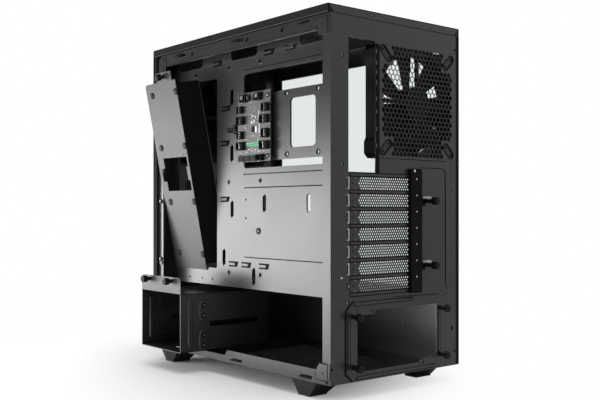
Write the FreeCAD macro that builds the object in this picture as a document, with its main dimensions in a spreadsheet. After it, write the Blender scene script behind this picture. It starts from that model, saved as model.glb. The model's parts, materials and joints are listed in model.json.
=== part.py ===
import FreeCAD, Part
import math
import os
import re
import Sketcher

# A desktop computer tower, in millimetres: a steel chassis with its right side panel taken off, the
# drive cage drawn out of its bay and the cable cover leaning out on its hooks.
#
# Every piece is drawn in the chassis frame: X from the left side (0) to the right, Y from the front (0)
# to the rear, Z from the floor up. Its Placement then moves the whole tower so that the origin is the
# middle of its footprint, knobs and drawn-out cage included.

SIZES = (
    # Overall
    ("case_width", 231.0, "over the cap"),
    ("case_depth", 396.0, "fascia to rear panel"),
    ("case_height", 463.0, "floor to the top of the cap"),
    ("foot_height", 20.0, "floor to the underside of the base"),
    ("steel", 1.0, "sheet thickness of the chassis"),
    ("side_gap", 4.0, "step from the cap's side to the chassis, filled by a side panel"),
    ("cap_height", 10.0, "depth of the cap's skirt"),
    ("cap_lean", 3.5, "how far the cap's side skirts lean in at the bottom"),
    ("cap_front", 60.0, "solid strip of the cap in front of its vent"),
    ("cap_margin", 34.0, "solid strip round the other sides of the vent"),
    ("filter_rim", 9.0, "frame of the cap's dust filter"),
    ("fascia_depth", 10.0, "depth of the front moulding"),
    ("fascia_wall", 2.5, "wall of the front moulding"),
    ("fascia_slots", 9, "air slots in each column of the fascia"),
    ("cable_space", 23.0, "room behind the tray for cables"),
    ("shroud_height", 119.0, "floor to the top of the power supply shroud"),
    ("play", 0.3, "clearance between pieces that move or are put in by hand"),
    # Flanges and rails
    ("corner_flange", 14.0, "return flange of the rear panel"),
    ("front_flange", 11.0, "return flange of the front frame"),
    ("top_rail", 17.0, "height of the upper side rails"),
    ("bottom_rail", 16.0, "height of the lower side rails"),
    ("bottom_rail_front", 8.7, "height of the lower right rail where the cage passes over it"),
    ("rail_step", 188.0, "front of the case to the step in the lower right rail"),
    ("rail_hem", 4.0, "hem folded in along the upper rails"),
    ("tab_width", 19.0, "corner tabs of the rails"),
    ("tab_height", 25.0, "corner tabs of the rails"),
    # Rear panel
    ("io_width", 44.45, "opening for the board's connectors"),
    ("io_height", 158.75, "opening for the board's connectors"),
    ("io_drop", 25.25, "roof to the connector opening"),
    ("io_from_tray", 5.3, "tray's outer face to the connector opening"),
    ("slot_pitch", 20.32, "expansion slots"),
    ("slot_count", 7, "expansion slots"),
    ("slot_drop", 13.4, "connector opening to the centre of the first slot"),
    ("slot_height", 15.5, "window of an expansion slot"),
    ("slot_length", 118.0, "window of an expansion slot"),
    ("bracket_height", 18.4, "blanking cover of a slot"),
    ("emboss", 0.4, "depth of a pressed panel"),
    ("screw_radius", 1.6, "clearance for a small screw"),
    ("bar_width", 22.4, "cover over the slot screws"),
    ("bar_depth", 6.0, "cover over the slot screws"),
    ("bar_wall", 1.2, "cover over the slot screws"),
    ("knob_radius", 4.5, "head of a thumbscrew"),
    ("knob_neck", 2.8, "neck of a thumbscrew"),
    ("slot_knob_length", 22.0, "long-necked thumbscrew of the slot cover"),
    ("psu_knob_length", 15.0, "thumbscrew of the power supply frame"),
    ("cage_knob_length", 13.0, "thumbscrew of the drive cage"),
    # Fans
    ("fan_size", 140.0, "square of a fan"),
    ("fan_thickness", 25.0, "depth of a fan"),
    ("fan_screw_edge", 7.75, "edge of a fan to its screws"),
    ("small_fan_pitch", 105.0, "spacing of a 120 mm fan's screws"),
    ("fan_border", 1.5, "edge of the rear fan to the edge of its pressed square"),
    ("fan_drop", 95.0, "roof to the rear fan's axis"),
    ("fan_from_io", 4.0, "connector opening to the rear fan's pressed square"),
    ("hub_radius", 21.0, "rotor hub"),
    ("fan_wall", 4.0, "thinnest wall of a fan frame, at the middle of its sides"),
    ("fan_scallop", 3.0, "depth of the dip in each side of a fan frame"),
    ("blade_count", 7, "blades of a rotor"),
    ("blade_gap", 4.0, "bore to the blade tips"),
    ("blade_root", 8.0, "half the width of a blade at the hub"),
    ("blade_tip", 22.0, "half the width of a blade at its tip"),
    ("blade_pitch", 22.0, "slant of a blade, in degrees"),
    ("blade_start", 22.0, "turn of the first blade from the level, in degrees"),
    ("blade_camber", 2.5, "bow of a blade"),
    ("blade_thickness", 1.8, "thickness of a blade"),
    ("hex_pitch", 12.0, "grille holes, along a row"),
    ("hex_across", 10.4, "grille hole, flat to flat"),
    ("hex_corner", 46.0, "grille's middle to the plain corners"),
    # Power supply frame
    ("psu_width", 140.0, "opening for the power supply"),
    ("psu_height", 72.0, "opening for the power supply"),
    ("psu_bottom", 31.5, "floor to the opening"),
    ("psu_rim", 13.0, "width of the frame's upright sides"),
    ("psu_lip", 11.0, "width of the frame's top and bottom"),
    ("psu_plate", 1.2, "thickness of the frame"),
    # Tray
    ("cable_window_front", 30.0, "front of the case to the cable window"),
    ("cable_window_rear", 130.0, "front of the case to the window's rear edge"),
    ("cable_window_rise", 23.0, "shroud to the cable window"),
    ("cable_window_drop", 44.0, "roof to the cable window"),
    ("cooler_front", 196.0, "front of the case to the cooler cut-out"),
    ("cooler_rear", 368.0, "front of the case to the cut-out's rear edge"),
    ("cooler_drop", 47.0, "roof to the cooler cut-out"),
    ("cooler_height", 128.0, "height of the cooler cut-out"),
    ("drive_panel_rise", 41.5, "shroud to the pressed panel for flat drives"),
    ("drive_panel_height", 93.0, "pressed panel for flat drives"),
    ("strap_width", 4.4, "slots for cable straps"),
    ("strap_length", 22.5, "slots for cable straps"),
    ("standoff_height", 6.5, "tray to the main board"),
    ("standoff_across", 5.5, "hexagon of a standoff"),
    ("standoff_bore", 1.45, "tapped hole of a standoff"),
    ("board_drop", 35.0, "roof to the board's upper holes"),
    ("board_front_pitch", 227.33, "board holes, rear column to front column"),
    ("board_mid_pitch", 124.46, "board holes, rear column to middle column"),
    ("board_row_high", 154.94, "board holes, upper row to middle row"),
    ("board_row_low", 124.46, "board holes, middle row to lower row"),
    ("board_from_rear", 19.0, "rear panel to the board's rear holes"),
    # Drive cage
    ("cage_out", 64.5, "how far the cage is drawn out"),
    ("cage_front", 34.0, "front of the case to the cage"),
    ("cage_width", 104.0, "along the case"),
    ("cage_height", 78.0, "two drives high"),
    ("cage_length", 150.0, "across the case"),
    ("cage_flange", 24.0, "upright flange that is screwed to the tray"),
    ("cage_screw_pitch", 59.0, "the flange's two thumbscrews"),
    ("cage_lift", 9.5, "underside of the base to the cage"),
    # Cable cover
    ("cover_lean", 11.2, "degrees"),
    ("cover_front", 23.8, "front of the case to the cover"),
    ("cover_width", 82.0, "along the case"),
    ("cover_height", 272.5, "hooks to the top edge"),
    ("cover_rise", 19.6, "shroud to the cover's hook line"),
    ("cover_wall", 38.0, "depth of the cover's side wall"),
    ("cover_sheet", 1.2, "thickness of the cover"),
    ("flat_drive_pitch", 76.6, "screws of a flat drive, lengthwise"),
    ("flat_drive_width", 61.72, "screws of a flat drive, across"),
    # Hub board
    ("bracket_front", 190.0, "front of the case to the hub's bracket"),
    ("bracket_rear", 374.0, "front of the case to the bracket's rear edge"),
    ("bracket_lift", 10.5, "lower edge of the cooler cut-out to the bracket"),
    ("bracket_rise", 88.0, "height of the bracket"),
    ("hub_front", 192.0, "front of the case to the hub board"),
    ("hub_width", 71.0, "hub board"),
    ("hub_rise", 9.5, "lower edge of the cooler cut-out to the hub board"),
    ("hub_height", 92.0, "hub board"),
    ("hub_lift", 5.5, "bracket to the hub board"),
    ("hub_board", 1.6, "thickness of the hub board"),
    # Feet
    ("foot_length", 47.0, "top of a foot, along the case"),
    ("foot_width", 44.0, "top of a foot, across the case"),
    ("foot_inset", 4.0, "edge of the case to a sole"),
    ("foot_toe", 8.0, "front of a foot to its sole"),
    ("pad_length", 21.0, "sole of a foot, along the case"),
    ("pad_width", 28.0, "sole of a foot, across the case"),
    ("pad_thickness", 1.5, "rubber sole"),
    ("foot_rear_gap", 24.5, "rear of the case to a rear foot"),
    ("foot_front_gap", 15.0, "front of the case to a front foot"),
    # Glass side panel
    ("glass", 3.0, "thickness of the glass"),
    ("glass_band", 15.0, "width of the dark band on the glass"),
    # Buttons
    ("button_radius", 7.0, "power button"),
    ("small_button_radius", 3.5, "light button"),
    ("button_travel", 1.2, "power button and light button"),
    ("button_spring", 1.6, "room left under a pressed button for its spring"),
    ("well_floor", 1.2, "floor of the wells that the buttons stand in"),
    ("button_y", 32.0, "front of the case to the buttons"),
    ("intake_front", 141.0, "front of the case to the floor intake"),
    ("intake_length", 225.0, "floor intake"),
    ("filter_edge", 6.0, "floor intake to the edge of its dust filter"),
    ("filter_gap", 1.5, "foot to the dust filter"),
)

document = FreeCAD.newDocument("ComputerTower")
sheet = document.addObject("Spreadsheet::Sheet", "Sizes")
NAMES = {name for name, _, _ in SIZES}

# Places that many pieces share, as expressions on the sheet
LEFT = "side_gap"
RIGHT = "(case_width - side_gap)"
MIDDLE = "(case_width / 2)"
FRONT = "fascia_depth"
REAR = "case_depth"
INSIDE_REAR = "(case_depth - steel)"
FLOOR = "foot_height"
ROOF = "(case_height - cap_height)"
TRAY = "(case_width - side_gap - cable_space)"
IO_RIGHT = f"({TRAY} - io_from_tray)"
IO_BOTTOM = f"({ROOF} - io_drop - io_height)"
FAN_SQUARE = "(fan_size / 2 + fan_border)"
FAN_X = f"({IO_RIGHT} - io_width - fan_from_io - {FAN_SQUARE})"
FAN_Z = f"({ROOF} - fan_drop)"
FIRST_SLOT = f"({IO_BOTTOM} - slot_drop)"
SLOT_RIGHT = f"({IO_RIGHT} - 7.2)"
SLOT_LEFT = f"({SLOT_RIGHT} - slot_length)"
BAR_LEFT = f"({SLOT_LEFT} - 1.4)"
KNOB_X = f"({BAR_LEFT} - 6.6)"
CAGE_FLOOR = "(foot_height + cage_lift)"
CAGE_END = f"({TRAY} + steel + cage_out)"
FAN_GAP = f"(({ROOF} - shroud_height - fan_size * 2) / 3)"
LOW_FAN_BAY = f"(shroud_height + {FAN_GAP})"
HIGH_FAN_BAY = f"({LOW_FAN_BAY} + fan_size + {FAN_GAP})"
COOLER_TOP = f"({ROOF} - cooler_drop)"
COOLER_BOTTOM = f"({COOLER_TOP} - cooler_height)"
BRACKET_BOTTOM = f"({COOLER_BOTTOM} + bracket_lift)"
HUB_BOTTOM = f"({COOLER_BOTTOM} + hub_rise)"
COVER_BOTTOM = "(shroud_height + cover_rise)"
INTAKE_WIDTH = "(case_width - (side_gap + foot_width + filter_gap + filter_edge) * 2)"
INTAKE_LEFT = f"({MIDDLE} - {INTAKE_WIDTH} / 2)"
INTAKE_RIGHT = f"({MIDDLE} + {INTAKE_WIDTH} / 2)"
BARREL = "(fan_size / 2 - fan_wall)"
FAN_PITCH = "(fan_size - fan_screw_edge * 2)"
ORIGIN_X = f"(({CAGE_END} + cage_knob_length) / 2)"
ORIGIN_Y = "((case_depth + slot_knob_length) / 2)"


def fill_sheet():
    """Write every driving dimension to the sheet, one row each: name, value, what it measures."""
    for row, (name, value, note) in enumerate(SIZES, start=1):
        sheet.set(f"A{row}", name)
        sheet.set(f"B{row}", str(value))
        sheet.set(f"C{row}", note)
        sheet.setAlias(f"B{row}", name)
    document.recompute()


def bound(expression):
    """The expression with each size's name turned into a reference to its cell."""
    return re.sub(r"[a-z][a-z_]*", lambda m: "Sizes." + m[0] if m[0] in NAMES else m[0], str(expression))


def value(expression):
    """The expression's present value, as a number."""
    return float(sheet.evalExpression(bound(expression)))


def stand(piece, x="0", y="0", z="0"):
    """Put a piece at a place of the chassis frame."""
    piece.setExpression("Placement.Base.x", bound(f"{x} - {ORIGIN_X}"))
    piece.setExpression("Placement.Base.y", bound(f"{y} - {ORIGIN_Y}"))
    piece.setExpression("Placement.Base.z", bound(z))


def turn(piece, axis, degrees):
    """Turn a piece about its own origin before it is put in its place."""
    piece.Placement = FreeCAD.Placement(FreeCAD.Vector(), FreeCAD.Rotation(FreeCAD.Vector(*axis), degrees))


class Drawing:
    """A sketch on one of a body's planes, with every point bound to the sheet."""

    SIDE = {"XY": 1, "XZ": -1, "YZ": 1}

    def __init__(self, body, plane, at):
        self.sketch = body.newObject("Sketcher::SketchObject", body.Name + "_sketch")
        support = next(part for part in body.Origin.OriginFeatures if part.Role == plane + "_Plane")
        self.sketch.AttachmentSupport = [(support, "")]
        self.sketch.MapMode = "FlatFace"
        self.sketch.setExpression("AttachmentOffset.Base.z", bound(f"{self.SIDE[plane]} * ({at})"))

    def limit(self, kind, geometry, end, expression):
        """Bind one coordinate, or one radius, of a piece of geometry."""
        if kind == "Radius":
            index = self.sketch.addConstraint(Sketcher.Constraint(kind, geometry, value(expression)))
        else:
            constraint = Sketcher.Constraint(kind, -1, 1, geometry, end, value(expression))
            index = self.sketch.addConstraint(constraint)
        self.sketch.setExpression(f"Constraints[{index}]", bound(expression))

    def polygon(self, *points):
        """A closed outline of straight lines through the given points."""
        first = self.sketch.GeometryCount
        places = [FreeCAD.Vector(value(x), value(y), 0) for x, y in points]
        count = len(points)
        for index in range(count):
            self.sketch.addGeometry(Part.LineSegment(places[index], places[(index + 1) % count]))
        for index, (x, y) in enumerate(points):
            after = first + (index + 1) % count
            self.sketch.addConstraint(Sketcher.Constraint("Coincident", first + index, 2, after, 1))
            self.limit("DistanceX", first + index, 1, x)
            self.limit("DistanceY", first + index, 1, y)
        return self

    def rectangle(self, left, bottom, right, top):
        """A rectangle between two corners."""
        return self.polygon((left, bottom), (right, bottom), (right, top), (left, top))

    def chamfered(self, left, bottom, right, top, cut):
        """A rectangle whose four corners are cut off."""
        return self.polygon(
            (f"{left} + {cut}", bottom), (f"{right} - {cut}", bottom),
            (right, f"{bottom} + {cut}"), (right, f"{top} - {cut}"),
            (f"{right} - {cut}", top), (f"{left} + {cut}", top),
            (left, f"{top} - {cut}"), (left, f"{bottom} + {cut}"))

    def regular(self, x, y, radius, sides):
        """A regular polygon whose corners lie on the given radius about a point."""
        turns = [360 / sides * (corner + 0.5) for corner in range(sides)]
        return self.polygon(*[(f"{x} + {radius} * cos({turn} deg)", f"{y} + {radius} * sin({turn} deg)")
                              for turn in turns])

    def circle(self, x, y, radius):
        """A circle about a point."""
        centre = FreeCAD.Vector(value(x), value(y), 0)
        index = self.sketch.addGeometry(Part.Circle(centre, FreeCAD.Vector(0, 0, 1), value(radius)))
        self.limit("DistanceX", index, 3, x)
        self.limit("DistanceY", index, 3, y)
        self.limit("Radius", index, 0, radius)
        return self


class Piece:
    """One named piece of the tower, as a body whose features are bound to the sheet."""

    def __init__(self, label, x="0", y="0", z="0", rotation=None):
        self.body = document.addObject("PartDesign::Body", label)
        self.body.Label = label
        self.body.AllowCompound = True
        if rotation:
            turn(self.body, *rotation)
        stand(self.body, x, y, z)

    def draw(self, plane, at="0"):
        """A new sketch on the XY, XZ or YZ plane, moved to the given height along its normal axis."""
        return Drawing(self.body, plane, at)

    def feature(self, kind, drawing):
        """A new feature of the body that uses the drawing."""
        made = self.body.newObject("PartDesign::" + kind, f"{self.body.Name}_{kind.lower()}")
        made.Profile = drawing.sketch
        return made

    def pad(self, drawing, length, backwards=False):
        """Add the drawing's area: upwards from XY, forwards from XZ (to -Y) and rightwards from YZ."""
        made = self.feature("Pad", drawing)
        made.setExpression("Length", bound(length))
        made.Reversed = backwards
        return made

    def pierce(self, drawing):
        """Cut the drawing's area right through the piece, both ways."""
        made = self.feature("Pocket", drawing)
        made.Type = "ThroughAll"
        made.SideType = "Symmetric"
        return made

    def press(self, drawing, depth, backwards=False):
        """Cut the drawing's area to a depth: against the pad's direction unless backwards."""
        made = self.feature("Pocket", drawing)
        made.setExpression("Length", bound(depth))
        made.Reversed = backwards
        return made

    def revolve(self, drawing):
        """Turn the drawing's area once round its own upright axis."""
        made = self.feature("Revolution", drawing)
        made.ReferenceAxis = (drawing.sketch, ["V_Axis"])
        made.Angle = 360
        return made

    def loft(self, *drawings):
        """A straight-sided solid from one drawing's outline to the next one's."""
        made = self.feature("AdditiveLoft", drawings[0])
        made.Sections = [drawing.sketch for drawing in drawings[1:]]
        made.Ruled = True
        return made

    def row(self, feature, drawing, axis, length, count):
        """Repeat a feature, or several, in a row along the drawing's H or V axis, the given length in all."""
        made = self.body.newObject("PartDesign::LinearPattern", self.body.Name + "_row")
        made.Originals = feature if isinstance(feature, list) else [feature]
        made.Direction = (drawing.sketch, [axis + "_Axis"])
        made.setExpression("Length", bound(length))
        made.setExpression("Occurrences", bound(count))
        self.body.Tip = made
        return made

    def grid(self, feature, drawing, across, up):
        """Repeat a feature at the four corners of a rectangle."""
        made = self.row(feature, drawing, "H", across, 2)
        made.Direction2 = (drawing.sketch, ["V_Axis"])
        made.setExpression("Length2", bound(up))
        made.Occurrences2 = 2
        return made


# ---------------------------------------------------------------- chassis sheets

def rear_panel():
    """The flat rear sheet with its openings and two return flanges."""
    piece = Piece("rear_panel")
    piece.pad(piece.draw("XZ", REAR).rectangle(LEFT, FLOOR, RIGHT, ROOF), "steel")
    flanges = piece.draw("XY", f"{FLOOR} + steel")
    flanges.rectangle(LEFT, f"{REAR} - corner_flange", f"{LEFT} + steel", f"{REAR} - steel / 2")
    flanges.rectangle(f"{RIGHT} - steel", f"{REAR} - corner_flange", RIGHT, f"{REAR} - steel / 2")
    piece.pad(flanges, f"{ROOF} - {FLOOR} - steel * 2")
    windows = piece.draw("XZ", REAR)
    windows.rectangle(f"{IO_RIGHT} - io_width", IO_BOTTOM, IO_RIGHT, f"{IO_BOTTOM} + io_height")
    windows.rectangle(f"{FAN_X} - {FAN_SQUARE}", f"{FAN_Z} - {FAN_SQUARE}",
                      f"{FAN_X} + {FAN_SQUARE}", f"{FAN_Z} + {FAN_SQUARE}")
    windows.rectangle(f"{MIDDLE} - psu_width / 2 - 2", "psu_bottom - 4",
                      f"{MIDDLE} + psu_width / 2 + 2", "psu_bottom + psu_height + 4")
    piece.pierce(windows)
    lowest = f"({FIRST_SLOT} - slot_pitch * (slot_count - 1))"
    slot = piece.draw("XZ", REAR)
    slot.rectangle(SLOT_LEFT, f"{lowest} - slot_height / 2", SLOT_RIGHT, f"{lowest} + slot_height / 2")
    slot.rectangle(f"{SLOT_RIGHT} + 7.7", f"{lowest} - 6.5", f"{SLOT_RIGHT} + 9.7", f"{lowest} + 6.5")
    piece.row(piece.pierce(slot), slot, "V", "slot_pitch * (slot_count - 1)", "slot_count")
    recess = piece.draw("XZ", REAR)
    recess.chamfered(f"{BAR_LEFT} - 45.4", f"{lowest} - 9.7", f"{SLOT_LEFT} - 0.2", f"{FIRST_SLOT} + 20.4", 3)
    piece.press(recess, "emboss", backwards=True)
    holes = piece.draw("XZ", REAR)
    for x in (f"{LEFT} + 4.6", f"{RIGHT} - 2.6"):
        for z in (f"{FLOOR} + 19", f"{ROOF} - 19.5"):
            holes.regular(x, z, "screw_radius / 2" if x.startswith("(") else "screw_radius", 8)
    for z in (f"{IO_BOTTOM} + 136", f"{IO_BOTTOM} + 8", f"{lowest} + 10.4"):
        holes.regular(f"{RIGHT} - 17.7", z, "screw_radius", 8)
    holes.regular(f"{LEFT} + 10.6", "psu_bottom + 37.6", "3.4", 12)
    piece.pierce(holes)


def ring(x, z, radius, sides):
    """A regular polygon in the XZ plane, standing on a corner and drawn clockwise, as a hole is."""
    corners = []
    for side in range(sides + 1):
        angle = math.pi / 2 - math.tau * side / sides
        corners.append(FreeCAD.Vector(x + radius * math.cos(angle), 0, z + radius * math.sin(angle)))
    return Part.makePolygon(corners)


def honeycomb(half, inner, outer, seat):
    """The grille's hexagonal holes, in rows that are offset by half a pitch.

    The corners of the square stay plain, and a hole that would touch a screw seat is left out."""
    pitch = value("hex_pitch")
    radius = value("hex_across") / math.sqrt(3)
    plain = value("hex_corner")
    rise = pitch * math.sqrt(3) / 2
    edge = half - radius - pitch / 4
    rows = int(edge / rise)
    holes = []
    for row in range(-rows, rows + 1):
        shift = pitch / 2 if row % 2 else 0
        columns = int((edge - shift) / pitch)
        for column in range(-columns - (row % 2), columns + 1):
            x = column * pitch + shift
            z = row * rise
            middle = min(max((abs(x) + abs(z)) / 2, inner), outer)
            clear = math.hypot(abs(x) - middle, abs(z) - middle) > seat + radius
            if clear and min(abs(x), abs(z)) < plain:
                holes.append(ring(x, z, radius, 6))
    return holes


def fan_grille():
    """The honeycomb pressed into the rear panel, with four raised diagonal seats for the fan's screws."""
    half = value(FAN_SQUARE)
    inner = value("small_fan_pitch") / 2
    outer = value(FAN_PITCH) / 2
    seat = (outer - inner) / 2
    height = value("emboss") * 2
    axis = FreeCAD.Vector(0, 1, 0)
    wires = honeycomb(half, inner, outer, seat)
    seats = []
    for x, z in ((-1, -1), (1, -1), (1, 1), (-1, 1)):
        ends = [FreeCAD.Vector(x * reach, 0, z * reach) for reach in (inner, outer)]
        along = FreeCAD.Vector(x, 0, z).normalize() * seat
        side = FreeCAD.Vector(-z, 0, x).normalize() * seat
        bores = [ring(end.x, end.z, value("screw_radius"), 8) for end in ends]
        wires += bores
        corners = [ends[0] + side, ends[1] + side, ends[1] + side / 2 + along, ends[1] - side / 2 + along,
                   ends[1] - side, ends[0] - side, ends[0] - side / 2 - along, ends[0] + side / 2 - along,
                   ends[0] + side]
        slab = Part.Face(Part.makePolygon(corners)).extrude(axis * height)
        holes = [Part.Face(bore).extrude(axis * height) for bore in bores]
        seats.append(slab.cut(holes))
    border = Part.makePolygon([FreeCAD.Vector(x * half, 0, z * half)
                               for x, z in ((-1, -1), (1, -1), (1, 1), (-1, 1), (-1, -1))])
    plate = Part.Face([border] + wires).extrude(axis * -value("steel"))
    grille = document.addObject("Part::Feature", "rear_fan_grille")
    grille.Label = "rear_fan_grille"
    grille.Shape = plate.fuse(seats)
    stand(grille, FAN_X, REAR, FAN_Z)


def slot_cover(number):
    """One blanking cover: a plate with its hook, its bent tab and five rows of vents."""
    height = f"{FIRST_SLOT} - slot_pitch * {number - 1}"
    piece = Piece(f"slot_cover_{number}", z=height)
    tongue = f"{SLOT_RIGHT} + 8.2"
    plate = piece.draw("XZ", INSIDE_REAR)
    plate.polygon((f"{SLOT_LEFT} + 2", "-bracket_height / 2"), (SLOT_RIGHT, "-bracket_height / 2"),
                  (SLOT_RIGHT, "-6"), (f"{tongue} + steel", "-6"), (f"{tongue} + steel", "6"),
                  (SLOT_RIGHT, "6"), (SLOT_RIGHT, "bracket_height / 2"),
                  (f"{SLOT_LEFT} + 2", "bracket_height / 2"))
    piece.pad(plate, "steel")
    bends = piece.draw("XZ", "case_depth + bar_depth - bar_wall - emboss - play")
    bends.rectangle(f"{SLOT_LEFT} + 2", "-slot_height / 2 + play", f"{SLOT_LEFT} + 2 + steel",
                    "slot_height / 2 - play")
    piece.pad(bends, "bar_depth - bar_wall - emboss - play + steel * 1.5")
    hook = piece.draw("XZ", "case_depth + steel / 2").rectangle(tongue, "-6", f"{tongue} + steel", "6")
    piece.pad(hook, "steel * 2")
    vents = piece.draw("XZ", INSIDE_REAR)
    vents.polygon((f"{SLOT_LEFT} + 19", "-6.6"), (f"{SLOT_RIGHT} - 13", "-6.6"),
                  (f"{SLOT_RIGHT} - 13", "-5"), (f"{SLOT_LEFT} + 19", "-5"))
    piece.row(piece.pierce(vents), vents, "V", "11.6", 5)


def slot_screw_cover():
    """The channel that hides the slot screws, with two ears for its thumbscrews."""
    piece = Piece("slot_screw_cover")
    seat = "(case_depth - emboss)"
    outline = piece.draw("XZ", f"{seat} + bar_depth")
    outline.rectangle(BAR_LEFT, f"{FIRST_SLOT} - slot_pitch * (slot_count - 1) - 14.2",
                      f"{BAR_LEFT} + bar_width", f"{FIRST_SLOT} + 21.6")
    piece.pad(outline, "bar_depth - emboss")
    hollow = piece.draw("XZ", REAR)
    hollow.rectangle(f"{BAR_LEFT} + bar_wall", f"{FIRST_SLOT} - slot_pitch * (slot_count - 1) - 13",
                     f"{BAR_LEFT} + bar_width - bar_wall", f"{FIRST_SLOT} + 20.4")
    piece.press(hollow, "bar_depth - bar_wall - emboss")
    ears = piece.draw("XZ", f"{seat} + emboss + bar_wall")
    for z in (f"{FIRST_SLOT} - slot_pitch", f"{FIRST_SLOT} - slot_pitch * 5"):
        ears.rectangle(f"{BAR_LEFT} - 12", f"{z} - 8", f"{BAR_LEFT} + bar_wall", f"{z} + 8")
    piece.pad(ears, "bar_wall")


BACKWARDS = ((1, 0, 0), -90)
OUTWARDS = ((0, 1, 0), 90)


def knobs(label, length, head, place, rotation, across="0", up="0"):
    """A set of thumbscrews, two or four: each a neck and a head whose flats stand for its knurl."""
    piece = Piece(label, *place, rotation=rotation)
    neck = piece.pad(piece.draw("XY").regular("0", "0", "knob_neck", 8), f"{length} - {head}")
    plan = piece.draw("XY", f"{length} - {head}").regular("0", "0", "knob_radius", 16)
    screw = [neck, piece.pad(plan, head)]
    rows = [(axis, pitch) for axis, pitch in (("H", across), ("V", up)) if pitch != "0"]
    made = piece.row(screw, plan, *rows[0], 2)
    if len(rows) == 2:
        made.Direction2 = (plan.sketch, ["V_Axis"])
        made.setExpression("Length2", bound(up))
        made.Occurrences2 = 2


def psu_frame():
    """The frame screwed over the power supply's opening, with chamfered corners and two tabs."""
    piece = Piece("psu_frame")
    left = f"{MIDDLE} - psu_width / 2"
    right = f"{MIDDLE} + psu_width / 2"
    top = "psu_bottom + psu_height"
    outer = piece.draw("XZ", "case_depth + psu_plate")
    outer.chamfered(f"{left} - psu_rim + 4.5", "psu_bottom - psu_lip", f"{right} + psu_rim + 4.5",
                    f"{top} + psu_lip", "psu_rim * 0.85")
    piece.pad(outer, "psu_plate")
    inner = piece.draw("XZ", "case_depth + psu_plate")
    inner.polygon((left, "psu_bottom + 5"), (f"{left} + 24", "psu_bottom + 5"),
                  (f"{left} + 27", "psu_bottom"), (right, "psu_bottom"), (right, f"{top} - 5"),
                  (f"{right} - 27", f"{top} - 5"), (f"{right} - 30", top), (left, top))
    piece.pierce(inner)
    beads = piece.draw("XZ", "case_depth + psu_plate + emboss")
    for z in (f"{top} + psu_lip / 2", "psu_bottom - psu_lip / 2"):
        beads.rectangle(f"{left} + 2", f"{z} - 1", f"{right} - 2", f"{z} + 1")
    piece.pad(beads, "emboss * 2")
    holes = piece.draw("XZ", REAR)
    holes.regular(f"{right} - 25.6", f"{top} - 1.6", "screw_radius", 8)
    holes.regular(f"{left} + 21", "psu_bottom + 1.6", "screw_radius", 8)
    piece.pierce(holes)


def base_pan():
    """The floor sheet with its side rails, cage runners and intake opening."""
    piece = Piece("base_pan")
    piece.pad(piece.draw("XY", FLOOR).rectangle(LEFT, FRONT, RIGHT, INSIDE_REAR), "steel")
    front = f"{FRONT} + front_flange + steel"
    rear = f"{REAR} - corner_flange"
    left_rail = piece.draw("YZ", LEFT).rectangle(front, FLOOR, rear, f"{FLOOR} + bottom_rail")
    piece.pad(left_rail, "steel")
    right_rail = piece.draw("YZ", f"{RIGHT} - steel")
    right_rail.polygon((front, FLOOR), (rear, FLOOR), (rear, f"{FLOOR} + bottom_rail"),
                       ("rail_step", f"{FLOOR} + bottom_rail"),
                       ("rail_step - 6", f"{FLOOR} + bottom_rail_front"),
                       (front, f"{FLOOR} + bottom_rail_front"))
    piece.pad(right_rail, "steel")
    tab = piece.draw("YZ", RIGHT)
    tab.polygon((f"{rear} - 8", f"{FLOOR} + 6"), (f"{REAR} - 0.5", f"{FLOOR} + 6"),
                (f"{REAR} - 0.5", f"{FLOOR} + tab_height"), (f"{rear} - 3", f"{FLOOR} + tab_height"),
                (f"{rear} - 8", f"{FLOOR} + tab_height - 6"))
    piece.pad(tab, "steel")
    runners = piece.draw("XY", FLOOR)
    for y in ("cage_front + 12", "cage_front + cage_width - 22"):
        runners.rectangle(f"{TRAY} - cage_length + 10", y, f"{TRAY} - 4", f"{y} + 10")
    piece.pad(runners, "cage_lift - play")
    openings = piece.draw("XY", FLOOR)
    openings.rectangle(INTAKE_LEFT, "intake_front", INTAKE_RIGHT, "intake_front + intake_length")
    piece.pierce(openings)
    slots = piece.draw("YZ", RIGHT)
    for y in ("case_depth - 196", "case_depth - 54"):
        slots.rectangle(y, f"{FLOOR} + 3.6", f"{y} + 21", f"{FLOOR} + 7")
    slots.regular(f"{REAR} - 8", f"{FLOOR} + 14", "screw_radius", 8)
    made = piece.feature("Pocket", slots)
    made.setExpression("Length", bound("steel * 2.5"))
    made.Midplane = True


def floor_grille():
    """The pierced intake under the power supply, let into the floor sheet."""
    piece = Piece("floor_grille")
    plate = piece.draw("XY", FLOOR)
    plate.rectangle(INTAKE_LEFT, "intake_front", INTAKE_RIGHT, "intake_front + intake_length")
    piece.pad(plate, "steel")
    slit = piece.draw("XY", FLOOR)
    slit.rectangle(f"{INTAKE_LEFT} + 8", "intake_front + 9", f"{MIDDLE} - 4", "intake_front + 15")
    made = piece.row(piece.pierce(slit), slit, "H", f"{INTAKE_WIDTH} / 2 - 4", 2)
    made.Direction2 = (slit.sketch, ["V_Axis"])
    made.setExpression("Length2", bound("intake_length - 24"))
    made.Occurrences2 = 15


def bottom_filter():
    """The dust filter that slides out forwards under the floor: a frame round a thin mesh."""
    piece = Piece("bottom_filter")
    left = f"{INTAKE_LEFT} - filter_edge"
    right = f"{INTAKE_RIGHT} + filter_edge"
    front = "intake_front - 8"
    rear = "intake_front + intake_length + filter_edge"
    top = f"{FLOOR} - play"
    piece.pad(piece.draw("XY", f"{top} - 3").rectangle(left, front, right, rear), 3)
    inner = piece.draw("XY", top)
    inner.rectangle(f"{left} + 8", f"{front} + 10", f"{right} - 8", f"{rear} - 8")
    piece.press(inner, 2.4)
    grip = piece.draw("XY", f"{top} - 6").rectangle(f"{MIDDLE} - 25", front, f"{MIDDLE} + 25", f"{front} + 3")
    piece.pad(grip, 4)


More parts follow.
